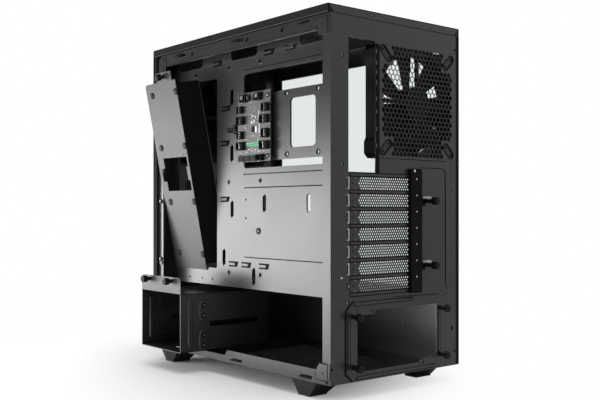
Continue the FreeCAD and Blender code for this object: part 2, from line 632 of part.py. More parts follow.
def side_rail(piece, side):
    """One upper rail of the top frame: an upright flange, its hem and its two corner tabs."""
    inner, outer, tab = {"left": (LEFT, f"{LEFT} + steel", f"{LEFT} - steel"),
                         "right": (f"{RIGHT} - steel", RIGHT, RIGHT)}[side]
    front = f"{FRONT} + front_flange + steel"
    rear = f"{REAR} - corner_flange"
    low = f"{ROOF} - top_rail"
    piece.pad(piece.draw("YZ", inner).rectangle(front, low, rear, ROOF), "steel")
    hem_from = {"left": LEFT, "right": f"{RIGHT} - rail_hem"}[side]
    piece.pad(piece.draw("YZ", hem_from).rectangle(front, low, rear, f"{low} + steel"), "rail_hem")
    if side == "right":
        tabs = piece.draw("YZ", tab)
        tabs.polygon((f"{REAR} - tab_width", f"{ROOF} - tab_height + 4"),
                     (f"{REAR} - tab_width + 4", f"{ROOF} - tab_height"),
                     (f"{REAR} - 0.5", f"{ROOF} - tab_height"), (f"{REAR} - 0.5", f"{ROOF} - steel / 2"),
                     (f"{REAR} - tab_width", f"{ROOF} - steel / 2"))
        tabs.rectangle(f"{FRONT} + 2", f"{ROOF} - tab_height", f"{FRONT} + 2 + tab_width", f"{ROOF} - 4")
        piece.pad(tabs, "steel")


def top_frame():
    """The sheet under the cap with its fan openings and side rails."""
    piece = Piece("top_frame")
    piece.pad(piece.draw("XY", f"{ROOF} - steel").rectangle(LEFT, FRONT, RIGHT, INSIDE_REAR), "steel")
    side_rail(piece, "left")
    side_rail(piece, "right")
    openings = piece.draw("XY", ROOF)
    for y in ("cap_front + 8", "cap_front + 158"):
        openings.chamfered(f"{MIDDLE} - 66", y, f"{MIDDLE} + 66", f"{y} + 142", 20)
    piece.pierce(openings)
    slots = piece.draw("YZ", RIGHT)
    for y in ("case_depth - 330", "case_depth - 188"):
        slots.rectangle(y, f"{ROOF} - 8", f"{y} + 17", f"{ROOF} - 5")
    slots.regular(f"{REAR} - 9", f"{ROOF} - 13.5", "screw_radius / 1.5", 8)
    slots.regular(f"{FRONT} + 12", f"{ROOF} - 14.5", "screw_radius / 1.5", 8)
    made = piece.feature("Pocket", slots)
    made.setExpression("Length", bound("steel * 2.5"))
    made.Midplane = True


def top_cap():
    """The cap: a flat top, two side skirts that lean in and a mitred rear skirt."""
    piece = Piece("top_cap")
    low = piece.draw("XY", ROOF)
    low.rectangle("cap_lean", "0", "case_width - cap_lean", "case_depth - steel * 1.5")
    high = piece.draw("XY", "case_height").rectangle("0", "0", "case_width", "case_depth - steel * 1.5")
    piece.loft(low, high)
    under = piece.draw("XZ", "case_depth")
    under.polygon(("cap_lean + steel", ROOF), ("case_width - cap_lean - steel", ROOF),
                  ("case_width - steel * 1.5", "case_height - steel"), ("steel * 1.5", "case_height - steel"))
    piece.press(under, "case_depth * 2", backwards=True)
    rear = piece.draw("XZ", REAR)
    rear.polygon(("cap_height - 0.4", ROOF), ("case_width - cap_height + 0.4", ROOF),
                 ("case_width", "case_height"), ("0", "case_height"))
    piece.pad(rear, "steel * 1.5")
    vent = piece.draw("XY", "case_height")
    vent.rectangle("cap_margin", "cap_front", "case_width - cap_margin", "case_depth - cap_margin")
    vent.circle(MIDDLE, "button_y", "button_radius + play")
    vent.circle(f"{MIDDLE} + 22", "button_y", "small_button_radius + play")
    for x in ("-52", "-32"):
        vent.rectangle(f"{MIDDLE} {x} - 7", "button_y - 3.2", f"{MIDDLE} {x} + 7", "button_y + 3.2")
    for x in ("38", "50"):
        vent.regular(f"{MIDDLE} + {x}", "button_y", "3", 16)
    piece.pierce(vent)


def top_filter():
    """The magnetic dust filter laid in the cap's vent: a thin frame round a mesh."""
    piece = Piece("top_filter")
    plate = piece.draw("XY", ROOF)
    plate.rectangle("cap_margin + play", "cap_front + play", "case_width - cap_margin - play",
                    "case_depth - cap_margin - play")
    piece.pad(plate, "cap_height - steel / 2")
    mesh = piece.draw("XY", "case_height - steel / 2")
    mesh.rectangle("cap_margin + filter_rim", "cap_front + filter_rim",
                   "case_width - cap_margin - filter_rim", "case_depth - cap_margin - filter_rim")
    piece.press(mesh, "1.5")
    below = piece.draw("XY", ROOF)
    below.rectangle("cap_margin + 4", "cap_front + 4",
                    "case_width - cap_margin - 4", "case_depth - cap_margin - 4")
    piece.press(below, "cap_height - steel / 2 - 2.2", backwards=True)


def front_frame():
    """The sheet behind the fascia with its fan bays, screw holes and return flanges."""
    piece = Piece("front_frame")
    sheet_back = f"{FRONT} + steel"
    outline = piece.draw("XZ", sheet_back)
    outline.rectangle(LEFT, f"{FLOOR} + steel", RIGHT, f"{ROOF} - steel")
    piece.pad(outline, "steel")
    flanges = piece.draw("XY", f"{FLOOR} + steel")
    for x in (LEFT, f"{RIGHT} - steel"):
        flanges.rectangle(x, f"{FRONT} + steel / 2", f"{x} + steel", f"{sheet_back} + front_flange")
    piece.pad(flanges, f"{ROOF} - {FLOOR} - steel * 2")
    bays = piece.draw("XZ", sheet_back)
    for z in (LOW_FAN_BAY, HIGH_FAN_BAY):
        bays.chamfered(f"{MIDDLE} - {BARREL}", f"{z} + fan_wall", f"{MIDDLE} + {BARREL}",
                       f"{z} + fan_size - fan_wall", "fan_screw_edge * 2 + 6.5")
    bays.rectangle(f"{MIDDLE} - 70", f"{FLOOR} + 22", f"{MIDDLE} + 70", "shroud_height - 14")
    piece.pierce(bays)
    holes = piece.draw("XZ", sheet_back)
    for z in (LOW_FAN_BAY, HIGH_FAN_BAY):
        for x in ("-1", "1"):
            for up in ("-1", "1"):
                holes.circle(f"{MIDDLE} + {x} * {FAN_PITCH} / 2",
                             f"{z} + fan_size / 2 + {up} * {FAN_PITCH} / 2", "screw_radius")
    piece.pierce(holes)


def front_fascia():
    """The slim front moulding, hollow behind, with a column of air slots down each side."""
    piece = Piece("front_fascia")
    face = piece.draw("XZ", FRONT)
    face.rectangle("0", FLOOR, "case_width", ROOF)
    piece.pad(face, "fascia_depth")
    hollow = piece.draw("XZ", FRONT)
    hollow.rectangle("side_gap + fascia_wall", f"{FLOOR} + fascia_wall",
                     "case_width - side_gap - fascia_wall", f"{ROOF} - fascia_wall")
    piece.press(hollow, "fascia_depth - fascia_wall", backwards=True)
    slots = piece.draw("XZ", FRONT)
    span = f"({ROOF} - {FLOOR} - 60) / fascia_slots"
    for x in ("14", "case_width - 26"):
        slots.rectangle(x, f"{FLOOR} + 30", f"{x} + 12", f"{FLOOR} + 30 + {span} - 6")
    piece.row(piece.pierce(slots), slots, "V", f"{span} * (fascia_slots - 1)", "fascia_slots")


def tie_bridge(start, low):
    """The corners of a C-shaped cut round a tongue that a cable tie goes under, in the YZ plane."""
    end = f"{start} + 20"
    inner = f"{start} + 16"
    return ((start, low), (end, low), (end, f"{low} + 9"), (start, f"{low} + 9"), (start, f"{low} + 6.5"),
            (inner, f"{low} + 6.5"), (inner, f"{low} + 2.5"), (start, f"{low} + 2.5"))


def tray():
    """The upright sheet that carries the main board, with its windows, slots and pressed panels.

    A slot or hole is placed by its distances from the case's rear and from the roof or the shroud."""
    piece = Piece("motherboard_tray")
    inner = f"{TRAY} - steel"
    front = f"{FRONT} + steel"
    rear = "case_depth -"
    below_roof = f"{ROOF} -"
    above_shroud = "shroud_height +"
    outline = piece.draw("YZ", inner)
    outline.rectangle(front, "shroud_height - steel", INSIDE_REAR, f"{ROOF} - steel")
    piece.pad(outline, "steel")
    panel = piece.draw("YZ", TRAY)
    panel.chamfered("cooler_front - 3", "shroud_height + drive_panel_rise", "cooler_rear + 6",
                    "shroud_height + drive_panel_rise + drive_panel_height", 4)
    piece.press(panel, "emboss")
    windows = piece.draw("YZ", TRAY)
    windows.chamfered("cable_window_front", "shroud_height + cable_window_rise", "cable_window_rear",
                      f"{ROOF} - cable_window_drop", 3)
    windows.chamfered("cooler_front", COOLER_BOTTOM, "cooler_rear", COOLER_TOP, 4)
    for start, end, drop in ((f"{front} + 12", f"{rear} 307", 30), (f"{rear} 231", f"{rear} 172", 33),
                             (f"{rear} 84", f"{rear} 28", 25)):
        windows.polygon((start, f"{ROOF} - {drop}"), (f"{end} - 8", f"{ROOF} - {drop}"),
                        (end, f"{ROOF} - {drop} + 10"), (end, f"{ROOF} - 4"), (start, f"{ROOF} - 4"))
    piece.pierce(windows)
    for y, height in ((229.7, f"{below_roof} 85"), (229.7, f"{below_roof} 163"), (229.7, f"{below_roof} 240"),
                      (154.8, f"{below_roof} 230.5"), (65.2, f"{below_roof} 231"),
                      (247.8, f"{above_shroud} 27"), (179.4, f"{above_shroud} 3.8")):
        start = f"{rear} {y}"
        slot = piece.draw("YZ", TRAY)
        slot.rectangle(start, height, f"{start} + strap_width", f"{height} + strap_length")
        piece.pierce(slot)
    for y, height in ((276, f"{below_roof} 27.5"), (156, f"{below_roof} 28.5"), (111, f"{below_roof} 28.5"),
                      (255, f"{below_roof} 93"), (257, f"{below_roof} 141"), (257, f"{below_roof} 219"),
                      (237.3, f"{above_shroud} 27.5"), (207.4, f"{above_shroud} 27.5"),
                      (168, f"{above_shroud} 27.5")):
        piece.pierce(piece.draw("YZ", TRAY).polygon(*tie_bridge(f"{rear} {y}", height)))
    holes = piece.draw("YZ", TRAY)
    for y in (165.3, 237.3):
        for height in (f"{below_roof} 33.4", f"{below_roof} 190.7", f"{above_shroud} 19"):
            holes.regular(f"{rear} {y}", height, "screw_radius * 1.1", 8)
    holes.regular(f"{rear} 320.2", f"{below_roof} 33.4", "screw_radius * 1.1", 8)
    piece.pierce(holes)


def psu_shroud():
    """The shelf over the power supply and its left wall, with a cable opening at the tray."""
    piece = Piece("psu_shroud")
    plate = piece.draw("XY", "shroud_height - steel")
    plate.rectangle(f"{LEFT} + 4", f"{FRONT} + steel", f"{TRAY} - steel", INSIDE_REAR)
    piece.pad(plate, "steel")
    wall = piece.draw("YZ", f"{LEFT} + 4")
    wall.rectangle(f"{FRONT} + steel", f"{FLOOR} + steel", INSIDE_REAR, "shroud_height - steel / 2")
    piece.pad(wall, "steel")
    openings = piece.draw("XY", "shroud_height")
    openings.chamfered(f"{TRAY} - 30", "160", f"{TRAY} - 8", "340", 4)
    openings.rectangle(f"{MIDDLE} - fan_size / 2 - 2", f"{FRONT} + steel + 2",
                       f"{MIDDLE} + fan_size / 2 + 2", f"{FRONT} + fan_thickness + 10")
    piece.pierce(openings)


def board_standoffs():
    """Nine hexagonal standoffs on the tray, tapped for the main board's screws."""
    height = value("standoff_height")
    side = value("standoff_across") / math.sqrt(3)
    front, rear = value("cooler_front"), value("cooler_rear")
    low, high = value(COOLER_BOTTOM), value(COOLER_TOP)
    shapes = []
    for column in ("0", "board_mid_pitch", "board_front_pitch"):
        for row in ("0", "board_row_high", "board_row_high + board_row_low"):
            y = value(f"{INSIDE_REAR} - board_from_rear - ({column})")
            z = value(f"{ROOF} - board_drop - ({row})")
            if front < y < rear and low < z < high:
                continue
            base = FreeCAD.Vector(-height, y, z)
            post = Part.Face(ring(0, 0, side, 6)).extrude(FreeCAD.Vector(0, height, 0))
            post.rotate(FreeCAD.Vector(), FreeCAD.Vector(0, 0, 1), -90)
            post.translate(base)
            bore = Part.makeCylinder(value("standoff_bore"), 5, base, FreeCAD.Vector(1, 0, 0))
            shapes.append(post.cut(bore))
    posts = document.addObject("Part::Feature", "board_standoffs")
    posts.Label = "board_standoffs"
    posts.Shape = Part.makeCompound(shapes)
    stand(posts, f"{TRAY} - steel")


# ---------------------------------------------------------------- fans

def fan_frame(prefix, x, y, z):
    """A fan's frame: a square block with dips in its sides, a bore, screw holes and the motor's arms."""
    frame = Piece(prefix + "_frame", x, y, z)
    half = "fan_size / 2"
    side = ((f"{half} - 6", "0"), (f"{half} - 20", "0"), (f"{half} - 26", "fan_scallop"))
    along = [(f"-({place})", dip) for place, dip in side]
    along += [(f"({place})", dip) for place, dip in reversed(side)]
    outline = [(place, f"-{half} + {dip}") for place, dip in along]
    outline += [(f"{half} - {dip}", place) for place, dip in along]
    outline += [(f"-{place}", f"{half} - {dip}") for place, dip in along]
    outline += [(f"-{half} + {dip}", f"-{place}") for place, dip in along]
    frame.pad(frame.draw("XZ").polygon(*outline), "fan_thickness")
    frame.pierce(frame.draw("XZ").circle("0", "0", BARREL))
    arm = f"{BARREL} + 1"
    spider = frame.draw("XZ")
    spider.polygon(("-2.5", f"-({arm})"), ("2.5", f"-({arm})"), ("2.5", "-2.5"), (arm, "-2.5"), (arm, "2.5"),
                   ("2.5", "2.5"), ("2.5", arm), ("-2.5", arm), ("-2.5", "2.5"), (f"-({arm})", "2.5"),
                   (f"-({arm})", "-2.5"), ("-2.5", "-2.5"))
    frame.pad(spider, 3)
    frame.pad(frame.draw("XZ").circle("0", "0", "hub_radius + 1"), 3.5)
    holes = frame.draw("XZ").regular(f"-{FAN_PITCH} / 2", f"-{FAN_PITCH} / 2", "screw_radius * 1.3", 8)
    frame.grid(frame.pierce(holes), holes, FAN_PITCH, FAN_PITCH)


def blade(root, tip):
    """One blade along +X: a bowed plate set at a slant, cut to an outline that widens outwards."""
    middle = FreeCAD.Vector(root, -value("fan_thickness / 2 + 1"), 0)
    slant = math.radians(value("blade_pitch"))
    reach = value("blade_tip") / math.cos(slant)
    chord = FreeCAD.Vector(0, -math.sin(slant), math.cos(slant)) * reach
    across = FreeCAD.Vector(0, math.cos(slant), math.sin(slant))
    bow = [(-1, 0), (-0.6, 0.64), (0, 1), (0.6, 0.64), (1, 0)]
    face = [middle + chord * along - across * value("blade_camber") * depth for along, depth in bow]
    back = [point - across * value("blade_thickness") for point in reversed(face)]
    section = Part.Face(Part.makePolygon([*face, *back, face[0]]))
    plate = section.extrude(FreeCAD.Vector(tip - root, 0, 0))
    near, far = value("blade_root"), value("blade_tip")
    deep = FreeCAD.Vector(0, -value("fan_thickness"), 0)
    plan = Part.makePolygon([FreeCAD.Vector(root, 0, -near), FreeCAD.Vector(tip, 0, -far),
                             FreeCAD.Vector(tip, 0, far), FreeCAD.Vector(root, 0, near),
                             FreeCAD.Vector(root, 0, -near)])
    return plate.common(Part.Face(plan).extrude(deep))


def fan_rotor(prefix, x, y, z):
    """A fan's wheel: a stepped hub and its blades."""
    axis = FreeCAD.Vector(0, -1, 0)
    radius = value("hub_radius")
    start = value("3.5 + play")
    length = value("fan_thickness - 6")
    hub = Part.makeCylinder(radius, length, axis * start, axis)
    cap = Part.makeCylinder(radius - 2.5, 2, axis * (start + length), axis)
    first = blade(radius - 3, value(f"{BARREL} - blade_gap"))
    blades = []
    for number in range(int(value("blade_count"))):
        turned = first.copy()
        angle = value("blade_start") + 360 / value("blade_count") * number
        turned.rotate(FreeCAD.Vector(), FreeCAD.Vector(0, 1, 0), angle)
        blades.append(turned)
    wheel = document.addObject("Part::Feature", prefix + "_rotor")
    wheel.Label = wheel.Name
    wheel.Shape = hub.fuse([cap, *blades]).removeSplitter()
    stand(wheel, x, y, z)


# ---------------------------------------------------------------- drive cage and cable cover

def drive_cage():
    """The sleeve for two drives, open at both ends, with its upright screw flange."""
    piece = Piece("drive_cage")
    far = f"{CAGE_END} - cage_length"
    low = CAGE_FLOOR
    rear = "cage_front + cage_width"
    high = f"{CAGE_FLOOR} + cage_height"
    piece.pad(piece.draw("YZ", far).rectangle("cage_front", low, rear, high), "cage_length")
    sleeve = piece.draw("YZ", far)
    sleeve.rectangle("cage_front + steel", f"{low} + steel", f"{rear} - steel", f"{high} - steel")
    piece.pierce(sleeve)
    flange = piece.draw("YZ", f"{CAGE_END} - steel")
    flange.polygon(("cage_front", f"{high} - steel"), (rear, f"{high} - steel"),
                   (rear, f"{high} + cage_flange - 5"), (f"{rear} - 1.6", f"{high} + cage_flange - 1.6"),
                   (f"{rear} - 5", f"{high} + cage_flange"), ("cage_front + 5", f"{high} + cage_flange"),
                   ("cage_front + 1.6", f"{high} + cage_flange - 1.6"),
                   ("cage_front", f"{high} + cage_flange - 5"))
    piece.pad(flange, "steel")
    slots = piece.draw("XZ")
    slots.chamfered(f"{far} + 19", f"{low} + cage_height / 2 - 3", f"{far} + 103",
                    f"{low} + cage_height / 2 + 1", 1.5)
    piece.pierce(slots)
    ribs = piece.draw("XZ", f"{rear} + emboss")
    for x in (f"{CAGE_END} - 20", f"{CAGE_END} - 15"):
        ribs.rectangle(x, f"{low} + 7", f"{x} + 1.4", f"{high} - 7")
    piece.pad(ribs, "emboss * 2")


def drive_grommets():
    """Eight rubber pads with cut-off corners on the cage's walls, where the drives are screwed."""
    piece = Piece("drive_grommets")
    for wall, backwards in (("cage_front", False), ("cage_front + cage_width", True)):
        outline = piece.draw("XZ", wall)
        for x in (f"{CAGE_END} - 37", f"{CAGE_END} - cage_length + 38"):
            for z in (f"{CAGE_FLOOR} + cage_height * 0.715", f"{CAGE_FLOOR} + cage_height * 0.19"):
                outline.chamfered(f"{x} - 7", f"{z} - 14", f"{x} + 7", f"{z} + 14", 4)
        piece.pad(outline, "emboss * 3", backwards)


def lean(piece, x, y, z):
    """Lean a piece of the cable cover outwards about the hook line, after its own place (x, y, z)."""
    turn(piece, (0, 1, 0), value("cover_lean"))
    piece.setExpression("Placement.Rotation.Angle", bound("cover_lean * 1 deg"))
    piece.setExpression("Placement.Base.x", bound(
        f"{TRAY} + play - {ORIGIN_X} + ({x}) * cos(cover_lean * 1 deg) + ({z}) * sin(cover_lean * 1 deg)"))
    piece.setExpression("Placement.Base.y", bound(f"cover_front - {ORIGIN_Y} + ({y})"))
    piece.setExpression("Placement.Base.z", bound(
        f"{COVER_BOTTOM} - ({x}) * sin(cover_lean * 1 deg) + ({z}) * cos(cover_lean * 1 deg)"))


def cable_cover():
    """The leaning cover: its plate, deep side wall, window, screw tab and two hooks."""
    piece = Piece("cable_cover")
    lean(piece.body, "0", "0", "0")
    plate = piece.draw("YZ")
    plate.polygon(("0", "0"), ("cover_width", "0"), ("cover_width", "cover_height"),
                  ("cover_width - 10", "cover_height"), ("cover_width - 10", "cover_height + 13"),
                  ("cover_width - 50", "cover_height + 13"), ("cover_width - 50", "cover_height"),
                  ("3", "cover_height"), ("0", "cover_height - 3"))
    piece.pad(plate, "cover_sheet")
    wall = piece.draw("YZ", "-cover_wall")
    wall.rectangle("cover_width - cover_sheet", "8", "cover_width", "cover_height - 5")
    piece.pad(wall, "cover_wall + cover_sheet / 2")
    window = piece.draw("YZ")
    window.polygon(("12", "115"), ("74", "115"), ("74", "165"), ("12", "165"), ("12", "152"), ("8", "152"),
                   ("8", "124"), ("12", "124"))
    piece.press(window, "cover_sheet * 3", backwards=True)
    hooks = piece.draw("XZ", "14")
    reach = "(steel + play)"
    hooks.polygon(("cover_sheet / 2", "4.2"), ("cover_sheet / 2", "5.2"), (f"-{reach} - 2.4", "5.2"),
                  (f"-{reach} - 2.4", "-1"), (f"-{reach} - 1.4", "-1"), (f"-{reach} - 1.4", "4.2"))
    hook = piece.pad(hooks, 12, backwards=True)
    made = piece.body.newObject("PartDesign::LinearPattern", "cable_cover_hooks")
    made.Originals = [hook]
    made.Direction = (next(a for a in piece.body.Origin.OriginFeatures if a.Role == "Y_Axis"), [""])
    made.setExpression("Length", bound("cover_width - 40"))
    made.Occurrences = 2
    piece.body.Tip = made


def cover_studs():
    """Eight rubber-ringed screws on the cover, for two flat drives on its inner face."""
    piece = Piece("drive_studs")
    lean(piece.body, "cover_sheet", "15.6", "22.4")
    plan = piece.draw("YZ").regular("0", "0", "4.4", 12)
    first = piece.pad(plan, 1.2)
    made = piece.row(first, plan, "H", "flat_drive_width", 2)
    made.Direction2 = (plan.sketch, ["V_Axis"])
    made.setExpression("Length2", bound("flat_drive_pitch * 3"))
    made.Occurrences2 = 4


def cover_knob():
    """The thumbscrew in the cover's tab."""
    piece = Piece("cover_thumbscrew")
    lean(piece.body, "cover_sheet", "52", "cover_height + 7")
    piece.pad(piece.draw("YZ").regular("0", "0", "knob_neck", 8), 4)
    piece.pad(piece.draw("YZ", "4").regular("0", "0", "knob_radius", 16), 8)


# ---------------------------------------------------------------- hub board

def hub_bracket():
    """The plate across the cooler cut-out that carries the hub board and a flat drive."""
    piece = Piece("hub_bracket")
    outline = piece.draw("YZ", TRAY)
    outline.chamfered("bracket_front", BRACKET_BOTTOM, "bracket_rear", f"{BRACKET_BOTTOM} + bracket_rise", 3)
    piece.pad(outline, "steel")
    window = piece.draw("YZ", TRAY)
    window.chamfered("case_depth - 102.8", f"{BRACKET_BOTTOM} + 12", "case_depth - 52.4",
                     f"{BRACKET_BOTTOM} + bracket_rise - 10", 3)
    low = f"{BRACKET_BOTTOM} + (bracket_rise - flat_drive_pitch) / 2"
    for y in ("case_depth - 109.3", "case_depth - 109.3 + flat_drive_width"):
        for z in (low, f"{low} + flat_drive_pitch"):
            window.circle(y, z, "screw_radius * 1.15")
    piece.pierce(window)


def solids(label, boxes):
    """A node of separate blocks on the hub board, each (y, z, width, height, depth) from its lower corner."""
    parts = []
    for number, (y, z, width, height, depth) in enumerate(boxes, start=1):
        block = document.addObject("Part::Box", f"{label}_{number}")
        block.setExpression("Length", bound(depth))
        block.setExpression("Width", bound(width))
        block.setExpression("Height", bound(height))
        block.setExpression("Placement.Base.y", bound(f"hub_front + ({y})"))
        block.setExpression("Placement.Base.z", bound(f"{HUB_BOTTOM} + ({z})"))
        parts.append(block)
    group = document.addObject("Part::Compound", label)
    group.Label = label
    group.Links = parts
    stand(group, f"{TRAY} + steel + hub_lift + hub_board")
    return group


def hub():
    """The fan and light hub: board, posts, power sockets, pin headers, strip and terminal row."""
    board = Piece("hub_board")
    outline = board.draw("YZ", f"{TRAY} + steel + hub_lift")
    outline.rectangle("hub_front", HUB_BOTTOM, "hub_front + hub_width", f"{HUB_BOTTOM} + hub_height")
    board.pad(outline, "hub_board")
    posts = Piece("hub_posts")
    pillars = posts.draw("YZ", f"{TRAY} + steel")
    for y in ("hub_front + 4", "hub_front + hub_width - 4"):
        for z in (f"{HUB_BOTTOM} + 5", f"{HUB_BOTTOM} + hub_height - 6"):
            pillars.chamfered(f"{y} - 2.2", f"{z} - 2.2", f"{y} + 2.2", f"{z} + 2.2", 1.3)
    posts.pad(pillars, "hub_lift")
    solids("hub_power_sockets", [("9", "hub_height - 11", 13, 9, 8),
                                 ("hub_width - 25", "hub_height - 11", 11, 9, 8)])
    headers = [("3", z, width, 9.5, 7) for z, width in ((65, 10), (50, 14), (31, 10), (16, 14))]
    headers += [("hub_width - 18", z, 17, 11, 7) for z in (63, 49, 29.5, 14.5)]
    headers += [(f"6 + 15 * {number}", 0.5, 12.5, 7.5, 6) for number in range(4)]
    solids("hub_headers", headers)
    solids("hub_light_strip", [("20", "21.2", 25, 5, 3)])
    solids("hub_chips", [("30.5", "39", 5.5, 7, 1.2), ("26", "hub_height - 10", 7, 6, 2.5),
                         ("35", "hub_height - 10", 6, 6, 2.5)])


def cable_clip():
    """The black push-in clip on the tray beside the hub board."""
    piece = Piece("cable_clip", TRAY, "case_depth - 226", f"{COOLER_BOTTOM} + 58")
    piece.pad(piece.draw("YZ").chamfered("-7", "-5", "7", "5", 2), 4)
    piece.pad(piece.draw("YZ", "4").regular("3", "0", "4", 12), 5)
    piece.pad(piece.draw("YZ", "4").regular("-4.5", "0", "2.5", 8), 3)


# ---------------------------------------------------------------- feet, side panel, buttons, small parts

def feet():
    """Four feet, each a wedge that tapers to its rubber sole, leaning in from the case's edges."""
    soles = Piece("foot_pads")
    plan = soles.draw("XY")
    for end, near in (("front", "foot_front_gap"), ("rear", "case_depth - foot_rear_gap - foot_length")):
        for side, edge, inward in (("left", LEFT, 1), ("right", f"{RIGHT} - foot_width", -1)):
            foot = document.addObject("Part::Wedge", f"foot_{end}_{side}")
            foot.Label = foot.Name
            outer = "foot_inset" if inward > 0 else "foot_width - foot_inset - pad_width"
            for axis, low, high in (("X", outer, f"{outer} + pad_width"),
                                    ("Z", "foot_toe", "foot_toe + pad_length")):
                foot.setExpression(f"{axis}2min", bound(low))
                foot.setExpression(f"{axis}2max", bound(high))
                foot.setExpression(f"{axis}min", "0")
            foot.Ymin = 0
            foot.setExpression("Xmax", bound("foot_width"))
            foot.setExpression("Ymax", bound("foot_height - pad_thickness"))
            foot.setExpression("Zmax", bound("foot_length"))
            turn(foot, (1, 0, 0), -90)
            stand(foot, edge, near, FLOOR)
            plan.rectangle(f"{edge} + {outer}", f"{near} + foot_toe", f"{edge} + {outer} + pad_width",
                           f"{near} + foot_toe + pad_length")
    soles.pad(plan, "pad_thickness")


def side_glass():
    """The left side panel: a sheet of glass and the dark band bonded round its inner face."""
    low, high = f"{FLOOR} + play", f"{ROOF} - play"
    front, rear = f"{FRONT} + play", f"{REAR} - play"
    pane = Piece("side_glass")
    pane.pad(pane.draw("YZ", "side_gap - glass - 0.5").rectangle(front, low, rear, high), "glass")
    band = Piece("glass_band")
    border = band.draw("YZ", "side_gap - 0.5")
    border.rectangle(front, low, rear, high)
    border.rectangle(f"{front} + glass_band", f"{low} + glass_band",
                     f"{rear} - glass_band", f"{high} - glass_band")
    band.pad(border, 0.5)


def round_button(label, x, radius):
    """A round push button standing flush in the cap."""
    piece = Piece(label, x, "button_y", "case_height")
    foot = "well_floor + button_spring + button_travel - cap_height"
    profile = piece.draw("XZ")
    profile.polygon(("0", foot), (radius, foot), (radius, "-0.6"), (f"{radius} - 0.6", "0"), ("0", "0"))
    piece.revolve(profile)


def io_block():
    """The moulding under the cap that carries the buttons, two data sockets and two sound sockets."""
    piece = Piece("io_port_block")
    low = f"{ROOF}"
    block = piece.draw("XY", low)
    block.rectangle(f"{MIDDLE} - 66", "button_y - 11", f"{MIDDLE} + 60", "button_y + 11")
    piece.pad(block, "cap_height - steel")
    wells = piece.draw("XY", f"{ROOF} + cap_height - steel")
    wells.circle(MIDDLE, "button_y", "button_radius + play")
    wells.circle(f"{MIDDLE} + 22", "button_y", "small_button_radius + play")
    for x in ("-52", "-32"):
        wells.rectangle(f"{MIDDLE} {x} - 6.5", "button_y - 2.7", f"{MIDDLE} {x} + 6.5", "button_y + 2.7")
    for x in ("38", "50"):
        wells.regular(f"{MIDDLE} + {x}", "button_y", "1.8", 12)
    piece.press(wells, "cap_height - steel - well_floor")
    tongues = Piece("data_socket_tongues")
    bars = tongues.draw("XY", f"{ROOF} + well_floor")
    for x in ("-52", "-32"):
        bars.rectangle(f"{MIDDLE} {x} - 5.6", "button_y - 1.9", f"{MIDDLE} {x} + 5.6", "button_y - 0.2")
    tongues.pad(bars, "cap_height - 3")


def fascia_clips():
    """The three push clips that hold the fascia to the front frame's flange."""
    clips = Piece("fascia_clips")
    heads = clips.draw("YZ", RIGHT)
    for share in (0.29, 0.5, 0.69):
        heads.regular(f"{FRONT} + steel + front_flange / 2", f"{FLOOR} + ({ROOF} - {FLOOR}) * {share}",
                      "3.6", 12)
    clips.pad(heads, 1.2)


def build():
    """Make every piece."""
    rear_panel()
    fan_grille()
    for number in range(1, int(value("slot_count")) + 1):
        slot_cover(number)
    slot_screw_cover()
    knobs("slot_thumbscrews", "slot_knob_length - bar_wall", "9",
          (KNOB_X, "case_depth + bar_wall", f"{FIRST_SLOT} - slot_pitch"), BACKWARDS, up="slot_pitch * 4")
    psu_frame()
    knobs("psu_thumbscrews", "psu_knob_length", "7",
          (f"{MIDDLE} - psu_width / 2 - 7.5", "case_depth + psu_plate", "psu_bottom + psu_height - 6"),
          BACKWARDS, across="psu_width + 14", up="psu_height - 12")
    base_pan()
    floor_grille()
    bottom_filter()
    top_frame()
    top_cap()
    top_filter()
    front_frame()
    front_fascia()
    tray()
    psu_shroud()
    board_standoffs()
    front_fan_y = f"{FRONT} + steel + fan_thickness"
    for place in (("rear_fan", FAN_X, INSIDE_REAR, FAN_Z),
                  ("front_fan", MIDDLE, front_fan_y, f"{HIGH_FAN_BAY} + fan_size / 2")):
        fan_frame(*place)
        fan_rotor(*place)
    drive_cage()
    knobs("cage_thumbscrews", "cage_knob_length", "8",
          (CAGE_END, "cage_front + cage_width / 2 - cage_screw_pitch / 2",
           f"{CAGE_FLOOR} + cage_height + cage_flange - 5.3"), OUTWARDS, up="cage_screw_pitch")
    drive_grommets()
    cable_cover()
    cover_studs()
    cover_knob()
    hub_bracket()
    hub()
    cable_clip()
    feet()
    side_glass()
    round_button("power_button", MIDDLE, "button_radius")
    round_button("light_button", f"{MIDDLE} + 22", "small_button_radius")
    io_block()
    fascia_clips()


def export():
    """Check every object and write each piece to its own file."""
    document.recompute()
    faulty = [item.Label for item in document.Objects if {"Invalid", "Error"} & set(item.State)]
    if faulty:
        raise RuntimeError(f"not made: {faulty}")
    os.makedirs("parts", exist_ok=True)
    kinds = ("PartDesign::Body", "Part::Feature", "Part::Compound", "Part::Wedge")
    for item in document.Objects:
        if item.TypeId not in kinds:
            continue
        if item.Shape.isNull() or not item.Shape.isValid():
            raise RuntimeError(f"no sound shape: {item.Label}")
        item.Shape.exportStep(f"parts/{item.Label}.step")


fill_sheet()
build()
export()
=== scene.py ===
import json
import logging
import math
from dataclasses import dataclass
from enum import Enum
from typing import Any, Callable, Iterable, Sequence

import bpy
import numpy as np
from mathutils import Matrix, Vector
from mathutils.geometry import delaunay_2d_cdt


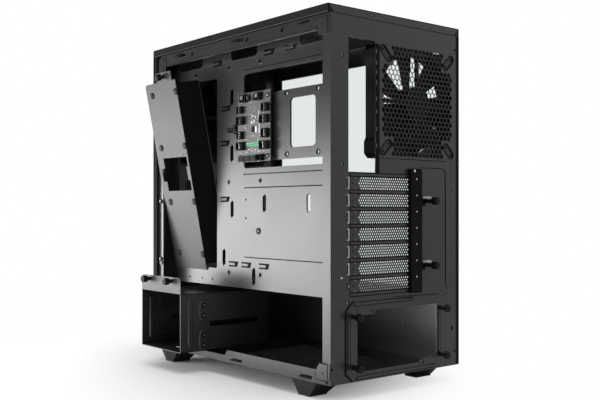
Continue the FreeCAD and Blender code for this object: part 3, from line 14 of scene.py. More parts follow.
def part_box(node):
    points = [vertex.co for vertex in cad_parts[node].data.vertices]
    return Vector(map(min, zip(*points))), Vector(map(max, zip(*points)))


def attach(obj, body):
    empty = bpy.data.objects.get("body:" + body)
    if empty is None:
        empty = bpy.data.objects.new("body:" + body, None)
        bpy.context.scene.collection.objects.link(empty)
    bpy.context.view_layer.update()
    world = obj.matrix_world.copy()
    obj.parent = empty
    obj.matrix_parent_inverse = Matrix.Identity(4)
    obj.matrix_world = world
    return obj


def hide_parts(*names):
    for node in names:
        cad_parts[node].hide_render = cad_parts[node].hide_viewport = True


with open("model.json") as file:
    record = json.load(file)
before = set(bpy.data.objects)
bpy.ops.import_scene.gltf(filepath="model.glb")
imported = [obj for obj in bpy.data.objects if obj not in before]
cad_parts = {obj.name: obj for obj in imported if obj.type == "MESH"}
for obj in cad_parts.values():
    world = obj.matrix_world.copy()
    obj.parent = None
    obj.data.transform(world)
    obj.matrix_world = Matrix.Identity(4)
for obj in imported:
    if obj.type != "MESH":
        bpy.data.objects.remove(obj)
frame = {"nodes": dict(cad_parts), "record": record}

# The looks of a desktop computer tower, in metres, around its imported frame. Each class dresses one
# sub-assembly: it takes its places from the frame's nodes and its own sizes from its fields.

Numbers = Sequence[float]

log = logging.getLogger("tower")
MM = 0.001
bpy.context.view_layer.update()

# Degrees that the cable cover leans out at rest.
COVER_LEAN = 11.2


# ---------------------------------------------------------------- shader graphs

class Wire:
    """A shader value that takes part in arithmetic: each operation adds one Math node."""

    def __init__(self, graph: "Graph", socket: bpy.types.NodeSocket) -> None:
        """Keep the graph and the output socket that the value comes from."""
        self.graph = graph
        self.socket = socket

    def math(self, operation: str, *operands: Any) -> "Wire":
        """The result of one Math node.

        Args:
            operation: the Math node's operation.
            operands: wires or numbers, in socket order.

        Returns:
            The node's output as a new wire.
        """
        return self.graph.wire("ShaderNodeMath", {"operation": operation}, dict(enumerate(operands)))

    def __add__(self, other: Any) -> "Wire":
        """Sum."""
        return self.math("ADD", self, other)

    def __radd__(self, other: Any) -> "Wire":
        """Sum, with the number first."""
        return self.math("ADD", other, self)

    def __sub__(self, other: Any) -> "Wire":
        """Difference."""
        return self.math("SUBTRACT", self, other)

    def __rsub__(self, other: Any) -> "Wire":
        """Difference, with the number first."""
        return self.math("SUBTRACT", other, self)

    def __mul__(self, other: Any) -> "Wire":
        """Product."""
        return self.math("MULTIPLY", self, other)

    def __rmul__(self, other: Any) -> "Wire":
        """Product, with the number first."""
        return self.math("MULTIPLY", other, self)

    def __truediv__(self, other: Any) -> "Wire":
        """Quotient."""
        return self.math("DIVIDE", self, other)

    def __pow__(self, other: Any) -> "Wire":
        """Power."""
        return self.math("POWER", self, other)

    def over(self, edge: float) -> "Wire":
        """One where the value is over the edge, and nought elsewhere."""
        return self.math("GREATER_THAN", self, edge)

    def fraction(self) -> "Wire":
        """The part after the decimal point."""
        return self.math("FRACT", self)

    def size(self) -> "Wire":
        """The value without its sign."""
        return self.math("ABSOLUTE", self)


class Graph:
    """The node tree of one material, on Object coordinates."""

    def __init__(self, name: str) -> None:
        """Start an empty material with an output node.

        Args:
            name: the material's name.
        """
        self.material = bpy.data.materials.new(name)
        self.material.use_nodes = True
        self.tree = self.material.node_tree
        self.tree.nodes.clear()
        self.output = self.tree.nodes.new("ShaderNodeOutputMaterial")

    def node(self, kind: str, settings: dict[str, Any] | None = None,
             sockets: dict[Any, Any] | None = None) -> bpy.types.Node:
        """Add one node: its settings first, then its sockets.

        Args:
            kind: the node's type.
            settings: its properties.
            sockets: input names or numbers, each with a wire or a constant.

        Returns:
            The new node.
        """
        made = self.tree.nodes.new(kind)
        for name, value in (settings or {}).items():
            setattr(made, name, value)
        for name, value in (sockets or {}).items():
            if isinstance(value, Wire):
                self.tree.links.new(value.socket, made.inputs[name])
            else:
                made.inputs[name].default_value = value
        return made

    def wire(self, kind: str, settings: dict[str, Any] | None = None,
             sockets: dict[Any, Any] | None = None, output: Any = 0) -> Wire:
        """Add one node and return one of its outputs as a wire.

        Args:
            kind: the node's type.
            settings: its properties.
            sockets: input names or numbers, each with a wire or a constant.
            output: the name or number of the output.

        Returns:
            That output.
        """
        return Wire(self, self.node(kind, settings, sockets).outputs[output])

    def place(self) -> Wire:
        """The point on the surface, in the piece's own frame."""
        return self.wire("ShaderNodeTexCoord", output="Object")

    def axes(self) -> tuple[Wire, Wire, Wire]:
        """The three coordinates of the point on the surface."""
        split = self.node("ShaderNodeSeparateXYZ", sockets={0: self.place()})
        return tuple(Wire(self, split.outputs[axis]) for axis in range(3))

    def noise(self, per_metre: float, detail: float = 2.0, roughness: float = 0.5) -> Wire:
        """Cloudy noise from 0 to 1, with so many clouds to the metre."""
        return self.wire("ShaderNodeTexNoise", {"noise_dimensions": "3D"}, {
            "Vector": self.place(), "Scale": per_metre, "Detail": detail, "Roughness": roughness})

    def mix(self, share: Any, first: Numbers, second: Numbers) -> Wire:
        """A colour between two: (1 - share) of the first and share of the second.

        Args:
            share: from 0 to 1.
            first: a colour, or a wire that carries one.
            second: the same.

        Returns:
            The mixed colour.
        """
        made = self.node("ShaderNodeMix", {"data_type": "RGBA"}, {"Factor": share})
        for socket, colour in zip([s for s in made.inputs if s.type == "RGBA"], (first, second)):
            if isinstance(colour, Wire):
                self.tree.links.new(colour.socket, socket)
            else:
                socket.default_value = (*colour, 1.0)
        return Wire(self, next(s for s in made.outputs if s.type == "RGBA"))

    def bump(self, height: Wire, distance: float, strength: float = 1.0) -> Wire:
        """A normal bent by a height that spans the given distance."""
        return self.wire("ShaderNodeBump", None, {
            "Height": height, "Distance": distance, "Strength": strength})

    def surface(self, **sockets: Any) -> bpy.types.Material:
        """Finish with a Principled surface.

        Args:
            sockets: the surface's sockets, with underscores for spaces.

        Returns:
            The finished material.
        """
        shader = self.node("ShaderNodeBsdfPrincipled", None,
                           {name.replace("_", " "): value for name, value in sockets.items()})
        self.tree.links.new(shader.outputs[0], self.output.inputs[0])
        return self.material


# ---------------------------------------------------------------- finishes

Colour = tuple[float, float, float]


@dataclass(frozen=True)
class PowderCoat:
    """Satin powder coat: a fine orange-peel grain with faint clouds of handling marks."""

    name: str
    colour: Colour = (0.0125, 0.0125, 0.013)
    roughness: float = 0.29
    grain: float = 1500.0
    depth: float = 0.00004
    specular: float = 0.4

    def build(self) -> bpy.types.Material:
        """Build the finish.

        Returns:
            Its material.
        """
        graph = Graph(self.name)
        clouds = graph.noise(14.0, 3.0)
        grain = graph.noise(self.grain, 1.0)
        pale = tuple(channel * 1.3 + 0.002 for channel in self.colour)
        return graph.surface(
            Base_Color=graph.mix(clouds, self.colour, pale),
            Roughness=clouds * 0.1 + (self.roughness - 0.05),
            Specular_IOR_Level=self.specular,
            Normal=graph.bump(grain, self.depth, 0.35))


@dataclass(frozen=True)
class Moulding:
    """Moulded plastic or rubber: a spark-eroded grain, a little paler where it is worn."""

    name: str
    colour: Colour
    roughness: float = 0.5
    grain: float = 2400.0
    depth: float = 0.00003
    specular: float = 0.5

    def build(self) -> bpy.types.Material:
        """Build the finish.

        Returns:
            Its material.
        """
        graph = Graph(self.name)
        clouds = graph.noise(40.0, 3.0)
        grain = graph.noise(self.grain, 2.0, 0.6)
        worn = tuple(min(1.0, channel * 1.25 + 0.004) for channel in self.colour)
        return graph.surface(
            Base_Color=graph.mix(clouds, self.colour, worn),
            Roughness=clouds * 0.12 + (self.roughness - 0.06),
            Specular_IOR_Level=self.specular,
            Normal=graph.bump(grain, self.depth, 0.5))


@dataclass(frozen=True)
class TurnedMetal:
    """Bare or blackened turned metal, with fine rings and a little staining."""

    name: str
    colour: Colour
    roughness: float = 0.3
    metallic: float = 1.0

    def build(self) -> bpy.types.Material:
        """Build the finish.

        Returns:
            Its material.
        """
        graph = Graph(self.name)
        stain = graph.noise(300.0, 3.0)
        lathe = graph.noise(6000.0, 1.0)
        dull = tuple(channel * 0.75 for channel in self.colour)
        return graph.surface(
            Base_Color=graph.mix(stain, self.colour, dull),
            Metallic=self.metallic,
            Roughness=stain * 0.15 + (self.roughness - 0.07),
            Normal=graph.bump(lathe, 0.00001, 0.4))


@dataclass(frozen=True)
class ClearGlass:
    """Clear toughened glass with a faint smear that shows only in reflections."""

    name: str
    tint: Colour = (0.9, 0.92, 0.92)

    def build(self) -> bpy.types.Material:
        """Build the finish: see-through straight on, and a mirror at a slant.

        Returns:
            Its material.
        """
        graph = Graph(self.name)
        smear = graph.noise(9.0, 4.0)
        clear = graph.wire("ShaderNodeBsdfTransparent", None, {"Color": (*self.tint, 1.0)})
        gloss = graph.wire("ShaderNodeBsdfPrincipled", None, {
            "Base Color": (0.02, 0.02, 0.02, 1.0), "Roughness": smear * 0.05 + 0.01})
        slant = graph.wire("ShaderNodeFresnel", None, {"IOR": 1.5})
        front = 1.0 - graph.wire("ShaderNodeNewGeometry", output="Backfacing")
        mixed = graph.wire("ShaderNodeMixShader", None, {0: slant * front, 1: clear, 2: gloss})
        graph.tree.links.new(mixed.socket, graph.output.inputs[0])
        return graph.material


@dataclass(frozen=True)
class SolderMask:
    """A circuit board: solder mask over copper tracks, with rows of tinned joints."""

    name: str
    colour: Colour = (0.03, 0.031, 0.03)
    track: Colour = (0.075, 0.08, 0.08)
    tin: Colour = (0.5, 0.5, 0.48)
    pitch: float = 0.0042

    def build(self) -> bpy.types.Material:
        """Build the finish: tracks from folded waves, joints on a grid, thinned out by noise.

        Returns:
            Its material.
        """
        graph = Graph(self.name)
        _, along, up = graph.axes()
        lane = (along / 0.0011 + graph.noise(90.0, 1.0) * 6.0).fraction() - 0.5
        tracks = lane.size().over(0.36)
        cell_y = (along / self.pitch).fraction() - 0.5
        cell_z = (up / self.pitch).fraction() - 0.5
        spot = (cell_y * cell_y + cell_z * cell_z) ** 0.5
        joint = (1.0 - spot.over(0.13)) * graph.noise(170.0, 0.0).over(0.56)
        board = graph.mix(tracks, self.colour, self.track)
        return graph.surface(
            Base_Color=graph.mix(joint, board, self.tin),
            Metallic=joint * 0.8,
            Roughness=0.42 - joint * 0.15,
            Normal=graph.bump(tracks + joint * 2.0, 0.00005, 0.6))


@dataclass(frozen=True)
class WovenMesh:
    """A fine nylon mesh: threads on a square grid, with the gaps between them painted near black as the shade
    seen through the mesh.
    """

    name: str
    thread: Colour = (0.05, 0.05, 0.052)
    gap_shade: Colour = (0.004, 0.004, 0.004)
    pitch: float = 0.0012

    def build(self) -> bpy.types.Material:
        """Build the finish.

        Returns:
            Its material.
        """
        graph = Graph(self.name)
        x, y, _ = graph.axes()
        across = ((x / self.pitch).fraction() - 0.5).size()
        along = ((y / self.pitch).fraction() - 0.5).size()
        height = across.math("MAXIMUM", across, along)
        # The gaps between threads take the painted-shade colour.
        hole = 1.0 - height.over(0.3)
        return graph.surface(
            Base_Color=graph.mix(hole, self.thread, self.gap_shade),
            Roughness=hole * 0.3 + 0.45,
            Normal=graph.bump(height, 0.0002, 0.6))


Finish = PowderCoat | Moulding | TurnedMetal | ClearGlass | SolderMask | WovenMesh

BLACK_STEEL = PowderCoat("black_powder_coat")
COVER_STEEL = PowderCoat("cover_powder_coat", roughness=0.42, specular=0.28)
CAP_STEEL = PowderCoat("cap_powder_coat", (0.011, 0.011, 0.0115), 0.26)
# A darker, nearly gloss-free copy of the powder coat: painted shade for the cap's side skirts. The hub's
# lower jacks and the roof honeycomb also use it.
SHADED_SKIRT_STEEL = PowderCoat("shaded_skirt_coat", (0.009, 0.009, 0.0095), 0.45, specular=0.06)
# A near-black, nearly gloss-free coat used as painted shade: films and sheets laid where hollows, gaps, step
# edges and shaded faces should read dark.
SHADE_STEEL = PowderCoat("painted_shade_coat", (0.003, 0.003, 0.003), 0.6, specular=0.05)
BLACK_MOULDING = Moulding("black_moulding", (0.008, 0.008, 0.0085), specular=0.16)
FAN_NYLON = Moulding("fan_nylon", (0.004, 0.004, 0.004), 0.6, specular=0.07)
SOCKET_NYLON = Moulding("socket_nylon", (0.006, 0.006, 0.006), 0.6, specular=0.08)
BLACK_NYLON = Moulding("black_nylon", (0.012, 0.012, 0.012), 0.42)
BLACK_KNOB = Moulding("black_knob", (0.004, 0.004, 0.004), 0.35, 3000.0, 0.00001, specular=0.12)
RUBBER = Moulding("soft_rubber", (0.012, 0.012, 0.012), 0.75, 1800.0)
GLOSS_BLACK = Moulding("gloss_black", (0.01, 0.01, 0.01), 0.16, 400.0, 0.000005)
WHITE_NYLON = Moulding("white_nylon", (0.72, 0.72, 0.69), 0.4)
GREEN_NYLON = Moulding("green_nylon", (0.01, 0.28, 0.1), 0.4)
BLUE_NYLON = Moulding("blue_nylon", (0.015, 0.08, 0.4), 0.35)
TINNED_STEEL = TurnedMetal("tinned_steel", (0.6, 0.6, 0.58), 0.28)
DULL_STEEL = TurnedMetal("dull_steel", (0.14, 0.14, 0.14), 0.4)
CUT_STEEL = TurnedMetal("cut_steel", (0.36, 0.36, 0.36), 0.45)
BRASS = TurnedMetal("brass", (0.62, 0.45, 0.18), 0.3)
GLASS = ClearGlass("clear_glass")
BOARD = SolderMask("solder_mask")
MESH = WovenMesh("filter_mesh")

FINISHES = (
    BLACK_STEEL, COVER_STEEL, CAP_STEEL, SHADED_SKIRT_STEEL, SHADE_STEEL, BLACK_MOULDING, FAN_NYLON, SOCKET_NYLON,
    DULL_STEEL, CUT_STEEL, BLACK_NYLON, BLACK_KNOB, RUBBER, GLOSS_BLACK, WHITE_NYLON, GREEN_NYLON, BLUE_NYLON,
    TINNED_STEEL, BRASS, GLASS, BOARD, MESH)

SLOT_FINISH = {
    "black_steel": BLACK_STEEL, "cap_black": CAP_STEEL, "cover_black": COVER_STEEL, "smoked_glass": GLASS,
    "glass_edge_print": GLOSS_BLACK, "circuit_board": BOARD, "black_nylon": BLACK_NYLON,
    "white_nylon": WHITE_NYLON, "green_nylon": GREEN_NYLON, "chip_resin": BLACK_MOULDING,
    "brass_posts": BRASS, "rubber": RUBBER, "rubber_studs": RUBBER, "moulded_black": BLACK_MOULDING,
    "socket_tongue": BLUE_NYLON,
    "button_black": GLOSS_BLACK, "fan_black": FAN_NYLON, "fan_blade": FAN_NYLON, "filter_mesh": MESH,
    "knob_black": BLACK_KNOB,
}


class Paint:
    """Builds each finish once and hands it out."""

    def __init__(self) -> None:
        """Build every finish."""
        self.materials = {finish.name: finish.build() for finish in FINISHES}

    def of(self, finish: Finish) -> bpy.types.Material:
        """The material of a finish."""
        return self.materials[finish.name]

    def dress_nodes(self) -> None:
        """Give every node of the frame the finish of its material slot."""
        slots = {entry["node"]: entry["material_slot"] for entry in frame["record"]["subparts"]}
        for name, node in frame["nodes"].items():
            material = self.of(SLOT_FINISH[slots[name]])
            node.data.materials.clear()
            node.data.materials.append(material)


# ---------------------------------------------------------------- forms

class Facing(Enum):
    """The way a flat sheet faces: the axes that its outline runs along, and its normal."""

    REAR = ((1, 0, 0), (0, 0, 1), (0, 1, 0))
    RIGHT = ((0, 1, 0), (0, 0, 1), (1, 0, 0))
    UP = ((1, 0, 0), (0, 1, 0), (0, 0, 1))

    def lay(self, flat: np.ndarray, height: float) -> np.ndarray:
        """Points that are drawn on a face, in space: across p0 + up p1 + out height for each point p."""
        across, up, out = (np.array(axis, float) for axis in self.value)
        return flat[:, :1] * across + flat[:, 1:2] * up + out * height


@dataclass
class Form:
    """Points and faces that aren't in the scene yet."""

    points: np.ndarray
    faces: list

    def moved(self, *by: float) -> "Form":
        """The form, moved by three lengths."""
        return Form(self.points + np.array(by), self.faces)

    def turned(self, axis: str, degrees: float) -> "Form":
        """The form, turned about X, Y or Z by an angle."""
        turn = np.array(Matrix.Rotation(math.radians(degrees), 3, axis))
        return Form(self.points @ turn.T, self.faces)

    @staticmethod
    def joined(forms: Iterable["Form"]) -> "Form":
        """Several forms as one.

        Args:
            forms: the forms, in order.

        Returns:
            One form with all their points and faces.
        """
        points, faces, count = [], [], 0
        for form in forms:
            points.append(form.points)
            faces += [tuple(index + count for index in face) for face in form.faces]
            count += len(form.points)
        return Form(np.concatenate(points), faces)


def mm(*lengths: float) -> tuple[float, ...]:
    """Lengths given in millimetres, in metres."""
    return tuple(length * MM for length in lengths)


def mm_loop(points: Iterable[Numbers], x: float = 0.0, y: float = 0.0) -> np.ndarray:
    """An outline about a place, both given in millimetres, in metres."""
    return (np.array(points, float) + (x, y)) * MM


def ring(x: float, y: float, radius: float, count: int = 16, phase: float = 0.0) -> np.ndarray:
    """A clockwise circle or regular polygon, as a hole is drawn."""
    angles = -np.linspace(0, 2 * np.pi, count, endpoint=False) + math.radians(phase)
    return np.column_stack([x + radius * np.cos(angles), y + radius * np.sin(angles)])


def disc(x: float, y: float, radius: float, count: int = 20) -> np.ndarray:
    """An anticlockwise circle, as an outline is drawn."""
    return ring(x, y, radius, count)[::-1]


def rounded(left: float, low: float, right: float, high: float, radius: float, steps: int = 5) -> np.ndarray:
    """A rectangle with round corners: each corner is a quarter circle about its own centre.

    Args:
        left: where it starts along the first axis.
        low: where it starts along the second axis.
        right: where it ends along the first axis.
        high: where it ends along the second axis.
        radius: of its corners.
        steps: points on each corner.

    Returns:
        The outline, anticlockwise.
    """
    angles = np.radians(np.linspace(0, 90, steps))
    corners = [(right - radius, high - radius), (left + radius, high - radius),
               (left + radius, low + radius), (right - radius, low + radius)]
    arcs = []
    for quarter, corner in enumerate(corners):
        turned = angles + quarter * np.pi / 2
        arcs.append(np.array(corner) + radius * np.column_stack([np.cos(turned), np.sin(turned)]))
    return np.concatenate(arcs)


def obround(ends: Sequence[Numbers], radius: float, steps: int = 9) -> np.ndarray:
    """Everything within a radius of a straight line: half a circle about each of its ends.

    Args:
        ends: the line's two ends.
        radius: the distance from the line.
        steps: points on each half circle.

    Returns:
        The outline, anticlockwise.
    """
    first, last = np.array(ends[0], float), np.array(ends[1], float)
    heading = math.atan2(*(last - first)[::-1])
    sweep = heading + np.linspace(-np.pi / 2, np.pi / 2, steps)
    half = radius * np.column_stack([np.cos(sweep), np.sin(sweep)])
    return np.concatenate([last + half, first - half])


def crescent(x: float, y: float, radius: float, start: float, end: float, width: float) -> np.ndarray:
    """Part of a ring between two angles.

    Args:
        x: its centre along the first axis.
        y: its centre along the second axis.
        radius: its outer radius.
        start: the angle it starts at, in degrees.
        end: the angle it ends at, in degrees.
        width: from its outer to its inner edge.

    Returns:
        The outline, anticlockwise: the outer arc, and the inner arc backwards.
    """
    angles = np.radians(np.linspace(start, end, 9))
    heading = np.column_stack([np.cos(angles), np.sin(angles)])
    outer = (x, y) + radius * heading
    inner = (x, y) + (radius - width) * heading
    return np.concatenate([outer, inner[::-1]])


def pushed(loop: np.ndarray, by: float) -> np.ndarray:
    """An outline, each point moved outwards along the bisector of the normals of its two edges.

    Args:
        loop: the outline, anticlockwise.
        by: how far each edge moves.

    Returns:
        The wider outline, with as many points.
    """
    edges = np.roll(loop, -1, axis=0) - loop
    normals = np.column_stack([edges[:, 1], -edges[:, 0]])
    normals = normals / np.maximum(np.linalg.norm(normals, axis=1, keepdims=True), 1e-9)
    before = np.roll(normals, 1, axis=0)
    middle = normals + before
    middle = middle / np.maximum(np.linalg.norm(middle, axis=1, keepdims=True), 1e-9)
    return loop + by * middle / np.maximum(0.5, np.sum(middle * normals, axis=1, keepdims=True))


def sheet(loops: Sequence[np.ndarray], facing: Facing, face_at: float, thickness: float,
          flare: float = 0.0) -> Form:
    """A flat sheet with holes: the area between the loops, twice, and a wall along every loop.

    Args:
        loops: the outline, anticlockwise, then the holes, clockwise.
        facing: the way it faces.
        face_at: where its outer face stands along its normal.
        thickness: its thickness, behind that face.
        flare: how far its foot reaches out past its outer face, as on a pressed panel.

    Returns:
        The closed sheet.
    """
    flat = np.concatenate(loops)
    ends = np.cumsum([len(loop) for loop in loops])
    starts = np.concatenate([[0], ends[:-1]])
    rims = [list(range(start, end)) for start, end in zip(starts, ends)]
    rims = rims[:1] + [rim[::-1] for rim in rims[1:]]
    made = delaunay_2d_cdt([Vector(point) for point in flat.tolist()], [], rims, 1, 1e-9)
    corners, triangles, owners = np.array(made[0]), made[2], made[5]
    inside = [tuple(face) for face, owner in zip(triangles, owners) if list(owner) == [0]]
    feet = corners.copy()
    feet[:ends[0]] = pushed(corners[:ends[0]], flare)
    front = facing.lay(corners, face_at)
    foot = facing.lay(feet, face_at - thickness)
    count = len(front)
    here = np.arange(len(flat))
    after = here + 1
    after[ends - 1] = starts
    walls = np.column_stack([here, here + count, after + count, after]).tolist()
    back = [tuple(index + count for index in reversed(face)) for face in inside]
    faces = inside + back + walls
    across, up, out = facing.value
    if np.dot(np.cross(across, up), out) < 0:
        faces = [tuple(reversed(face)) for face in faces]
    return Form(np.concatenate([front, foot]), faces)


def raised(loops: Sequence[np.ndarray], facing: Facing, face_at: float, rise: float,
           flare: float = 0.0) -> Form:
    """A sheet that stands on a face, from the face up to a rise above it."""
    return sheet(loops, facing, face_at + rise, rise, flare)


def slab(lower: Sequence[Numbers], upper: Sequence[Numbers]) -> Form:
    """A block between two four-cornered faces, each anticlockwise as seen from the upper side."""
    sides = [(k, (k + 1) % 4, (k + 1) % 4 + 4, k + 4) for k in range(4)]
    return Form(np.array([*lower, *upper], float), [(3, 2, 1, 0), (4, 5, 6, 7), *sides])


def wedge(foot: Numbers, head: Numbers, along: Numbers, levels: Numbers) -> Form:
    """A block whose span across the tower may differ between its foot and its head.

    Args:
        foot: where it starts and ends along X at its lower level.
        head: where it starts and ends along X at its upper level.
        along: where it starts and ends along Y.
        levels: its lower and its upper level.

    Returns:
        The closed block.
    """
    front, rear = along
    faces = [[(start, front, z), (end, front, z), (end, rear, z), (start, rear, z)]
             for (start, end), z in zip((foot, head), levels)]
    return slab(*faces)


def tube(rings: np.ndarray) -> Form:
    """Rings of points, each joined to the next by quads, with a flat face over the first and the last.

    Args:
        rings: rings by points by coordinates; each ring runs anticlockwise as seen from the last one.

    Returns:
        The closed form.
    """
    rows, count = rings.shape[:2]
    row, column = np.meshgrid(np.arange(rows - 1), np.arange(count), indexing="ij")
    near = (row * count + column).ravel()
    beside = (row * count + (column + 1) % count).ravel()
    sides = np.column_stack([near, beside, beside + count, near + count]).tolist()
    top = (rows - 1) * count
    ends = [tuple(range(count - 1, -1, -1)), tuple(range(top, top + count))]
    return Form(rings.reshape(-1, 3), sides + ends)


def lathe(profile: Sequence[Numbers], count: int,
          ripple: Callable[[np.ndarray], np.ndarray] | None = None) -> Form:
    """A turned form about +Z with flat ends.

    Args:
        profile: (radius, height) pairs, from the bottom edge up to the top edge.
        count: points round it.
        ripple: gives the share to add to the radius at an angle, on rows marked by a third value of 1.

    Returns:
        The closed form: x = r cos a, y = r sin a, for each radius r and angle a.
    """
    rows = np.array([(*row, 0.0)[:3] for row in profile], float)
    angles = np.linspace(0, 2 * np.pi, count, endpoint=False)
    extra = ripple(angles) if ripple else np.zeros(count)
    radii = rows[:, :1] * (1 + rows[:, 2:3] * extra)
    heights = np.repeat(rows[:, 1:2], count, axis=1)
    return tube(np.stack([radii * np.cos(angles), radii * np.sin(angles), heights], axis=-1))


def swept(path: np.ndarray, section: np.ndarray, up: Numbers) -> Form:
    """A section carried along a path.

    Args:
        path: the points of the path.
        section: (sideways, upwards) pairs, anticlockwise as seen from the path's start.
        up: the direction that the section's second number is measured along.

    Returns:
        The form: each section point p stands at path + p0 side + p1 up, where side is up x heading, mitred.
    """
    up = np.asarray(up, float)
    steps = np.vstack([np.diff(path, axis=0), path[-1] - path[-2]])
    steps = steps / np.linalg.norm(steps, axis=1, keepdims=True)
    before = np.vstack([steps[0], steps[:-1]])
    sides = np.cross(up, steps)
    mitre = sides + np.cross(up, before)
    mitre = mitre / np.linalg.norm(mitre, axis=1, keepdims=True)
    mitre = mitre / np.maximum(0.4, np.sum(mitre * sides, axis=1, keepdims=True))
    places = path[:, None] + section[None, :, :1] * mitre[:, None] + section[None, :, 1:] * up
    return tube(places[:, ::-1])


def crease(path: Sequence[Numbers], facing: Facing, face_at: float, width: float, rise: float) -> Form:
    """A low flat bead along a path that is drawn on a face.

    Args:
        path: its points on the face.
        facing: the way the face looks.
        face_at: where the face lies.
        width: of the bead's foot.
        rise: its height; its flat top is 0.6 as wide as its foot.

    Returns:
        The closed bead.
    """
    half = width / 2
    section = np.array([(-half, 0.0), (half, 0.0), (half * 0.6, rise), (-half * 0.6, rise)])
    return swept(facing.lay(np.array(path, float), face_at), section, facing.value[2])


def plus_edge(angles: np.ndarray, half_width: float, half_length: float) -> np.ndarray:
    """How far a cross-shaped recess reaches at each angle: to the end of an arm, or to the side of one.

    Args:
        angles: the angles, in radians.
        half_width: half the width of an arm.
        half_length: from the middle to the end of an arm.

    Returns:
        The lesser of half_length / cos a and half_width / sin a, with each angle a folded into an arm's half.
    """
    folded = np.abs((angles + np.pi / 4) % (np.pi / 2) - np.pi / 4)
    end = half_length / np.cos(folded)
    side = half_width / np.maximum(np.sin(folded), 1e-6)
    return np.minimum(end, side)


def screw_head(radius: float, height: float) -> Form:
    """A domed screw head with a cross recess.

    Args:
        radius: of its rim.
        height: of its dome.

    Returns:
        The head on its flat underside, facing +Z. Its rings run up the rim, over the dome and down into the
        recess, whose edge is the cross's outline.
    """
    count = 24
    angles = np.linspace(0, 2 * np.pi, count, endpoint=False)
    rim = np.full(count, radius)
    cross = plus_edge(angles, radius * 0.16, radius * 0.52)
    rings = [(rim, 0.0), (rim, height * 0.45), (rim * 0.88, height * 0.8), (rim * 0.66, height),
             (cross, height), (cross * 0.55, height * 0.2)]
    return tube(np.array([
        np.column_stack([reach * np.cos(angles), reach * np.sin(angles), np.full(count, level)])
        for reach, level in rings]))


# ---------------------------------------------------------------- small relief, given in millimetres

# How high a film of painted shade, such as a dark bed round a hole, stands on its face.
SHADE_FILM = 0.15


def studs(discs: Iterable[Numbers], facing: Facing, face_at: float, rise: float, count: int = 20) -> Form:
    """Low round studs on a face, each (middle, middle, radius), with a rise, all in millimetres."""
    return Form.joined(raised([disc(*mm(*one), count)], facing, face_at, rise * MM) for one in discs)


def plates(boxes: Iterable[Numbers], facing: Facing, face_at: float, rise: float, radius: float = 0.2,
           steps: int = 3) -> Form:
    """Low rectangles on a face.

    Args:
        boxes: each (start, start, end, end) on the face, in millimetres.
        facing: the way the face looks.
        face_at: where the face lies.
        rise: their height, in millimetres.
        radius: of their corners, in millimetres.
        steps: points on each corner.

    Returns:
        All of them as one form.
    """
    loops = [rounded(*mm(*box, radius), steps) for box in boxes]
    return Form.joined(raised([loop], facing, face_at, rise * MM) for loop in loops)


def creases(paths: Iterable[Sequence[Numbers]], facing: Facing, face_at: float, width: float,
            rise: float) -> Form:
    """Beads along several paths on a face, with every length but face_at in millimetres."""
    return Form.joined(crease([mm(*point) for point in path], facing, face_at, *mm(width, rise))
                       for path in paths)


def tie_slots(places: Iterable[Numbers], length: float, facing: Facing, face_at: float) -> Form:
    """Slots with one pointed end, drawn as thin films of painted shade.

    Args:
        places: their middles on the face, in millimetres.
        length: of each, in millimetres.
        facing: the way the face looks.
        face_at: where the face lies.

    Returns:
        All of them as one form.
    """
    half = length / 2
    shape = np.array([(-half, -0.4), (-half + 4, -1.6), (half, -1.6), (half, 1.6), (-half + 8, 1.6),
                      (-half + 7, 0.6), (-half, 0.6)]) * MM
    return Form.joined(raised([shape + mm(*place)], facing, face_at, SHADE_FILM * MM) for place in places)


def cups(places: Iterable[Numbers], facing: Facing, face_at: float, radius: float,
         start: float = -70.0) -> tuple[Form, Form]:
    """Pressed cups round rivets or screws, drawn as painted light: a crescent of bright steel as the painted
    highlight on each rim, over a disc of painted shade for the hollow.

    Args:
        places: their middles on the face, in millimetres.
        facing: the way the face looks.
        face_at: where the face lies.
        radius: of each cup's disc of painted shade, in millimetres.
        start: where the crescent of painted highlight starts, in degrees.

    Returns:
        The crescents of painted highlight and the discs of painted shade.
    """
    rim, width = radius * 0.72 * MM, radius * 0.34 * MM
    arcs = [crescent(*mm(*place), rim, start, start + 140, width) for place in places]
    rims = Form.joined(raised([arc], facing, face_at, 0.6 * MM) for arc in arcs)
    return rims, studs([(*place, radius) for place in places], facing, face_at, SHADE_FILM, 18)


class Bench:
    """Puts finished forms into the scene."""

    def __init__(self, paint: Paint) -> None:
        """Keep the finishes."""
        self.paint = paint

    def piece(self, name: str, form: Form, finish: Finish, body: str = "chassis",
              instead_of: Sequence[str] = (), bevel: float = 0.0) -> None:
        """Make one piece of the scene.

        Args:
            name: the piece's name.
            form: its points and faces.
            finish: its finish.
            body: the body that it moves with.
            instead_of: nodes of the frame that it stands for.
            bevel: how far its sharp edges are softened.
        """
        data = bpy.data.meshes.new(name)
        data.from_pydata(form.points.tolist(), [], form.faces)
        data.update()
        data.shade_smooth()
        data.set_sharp_from_angle(angle=math.radians(35))
        data.materials.append(self.paint.of(finish))
        made = bpy.data.objects.new(name, data)
        bpy.context.scene.collection.objects.link(made)
        if bevel:
            soften = made.modifiers.new("edges", "BEVEL")
            soften.width = bevel
            soften.segments = 2
            soften.limit_method = "ANGLE"
            soften.angle_limit = math.radians(40)
            soften.harden_normals = True
        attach(made, body)
        if instead_of:
            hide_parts(*instead_of)
        log.info("%s: %d faces on %s", name, len(form.faces), body)


# ---------------------------------------------------------------- rear

def rear_face() -> float:
    """Where the rear panel's outer face lies."""
    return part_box("rear_panel")[1][1]


def slot_middle(number: int) -> float:
    """The height of a slot cover's middle."""
    low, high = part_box(f"slot_cover_{number}")
    return (low[2] + high[2]) / 2


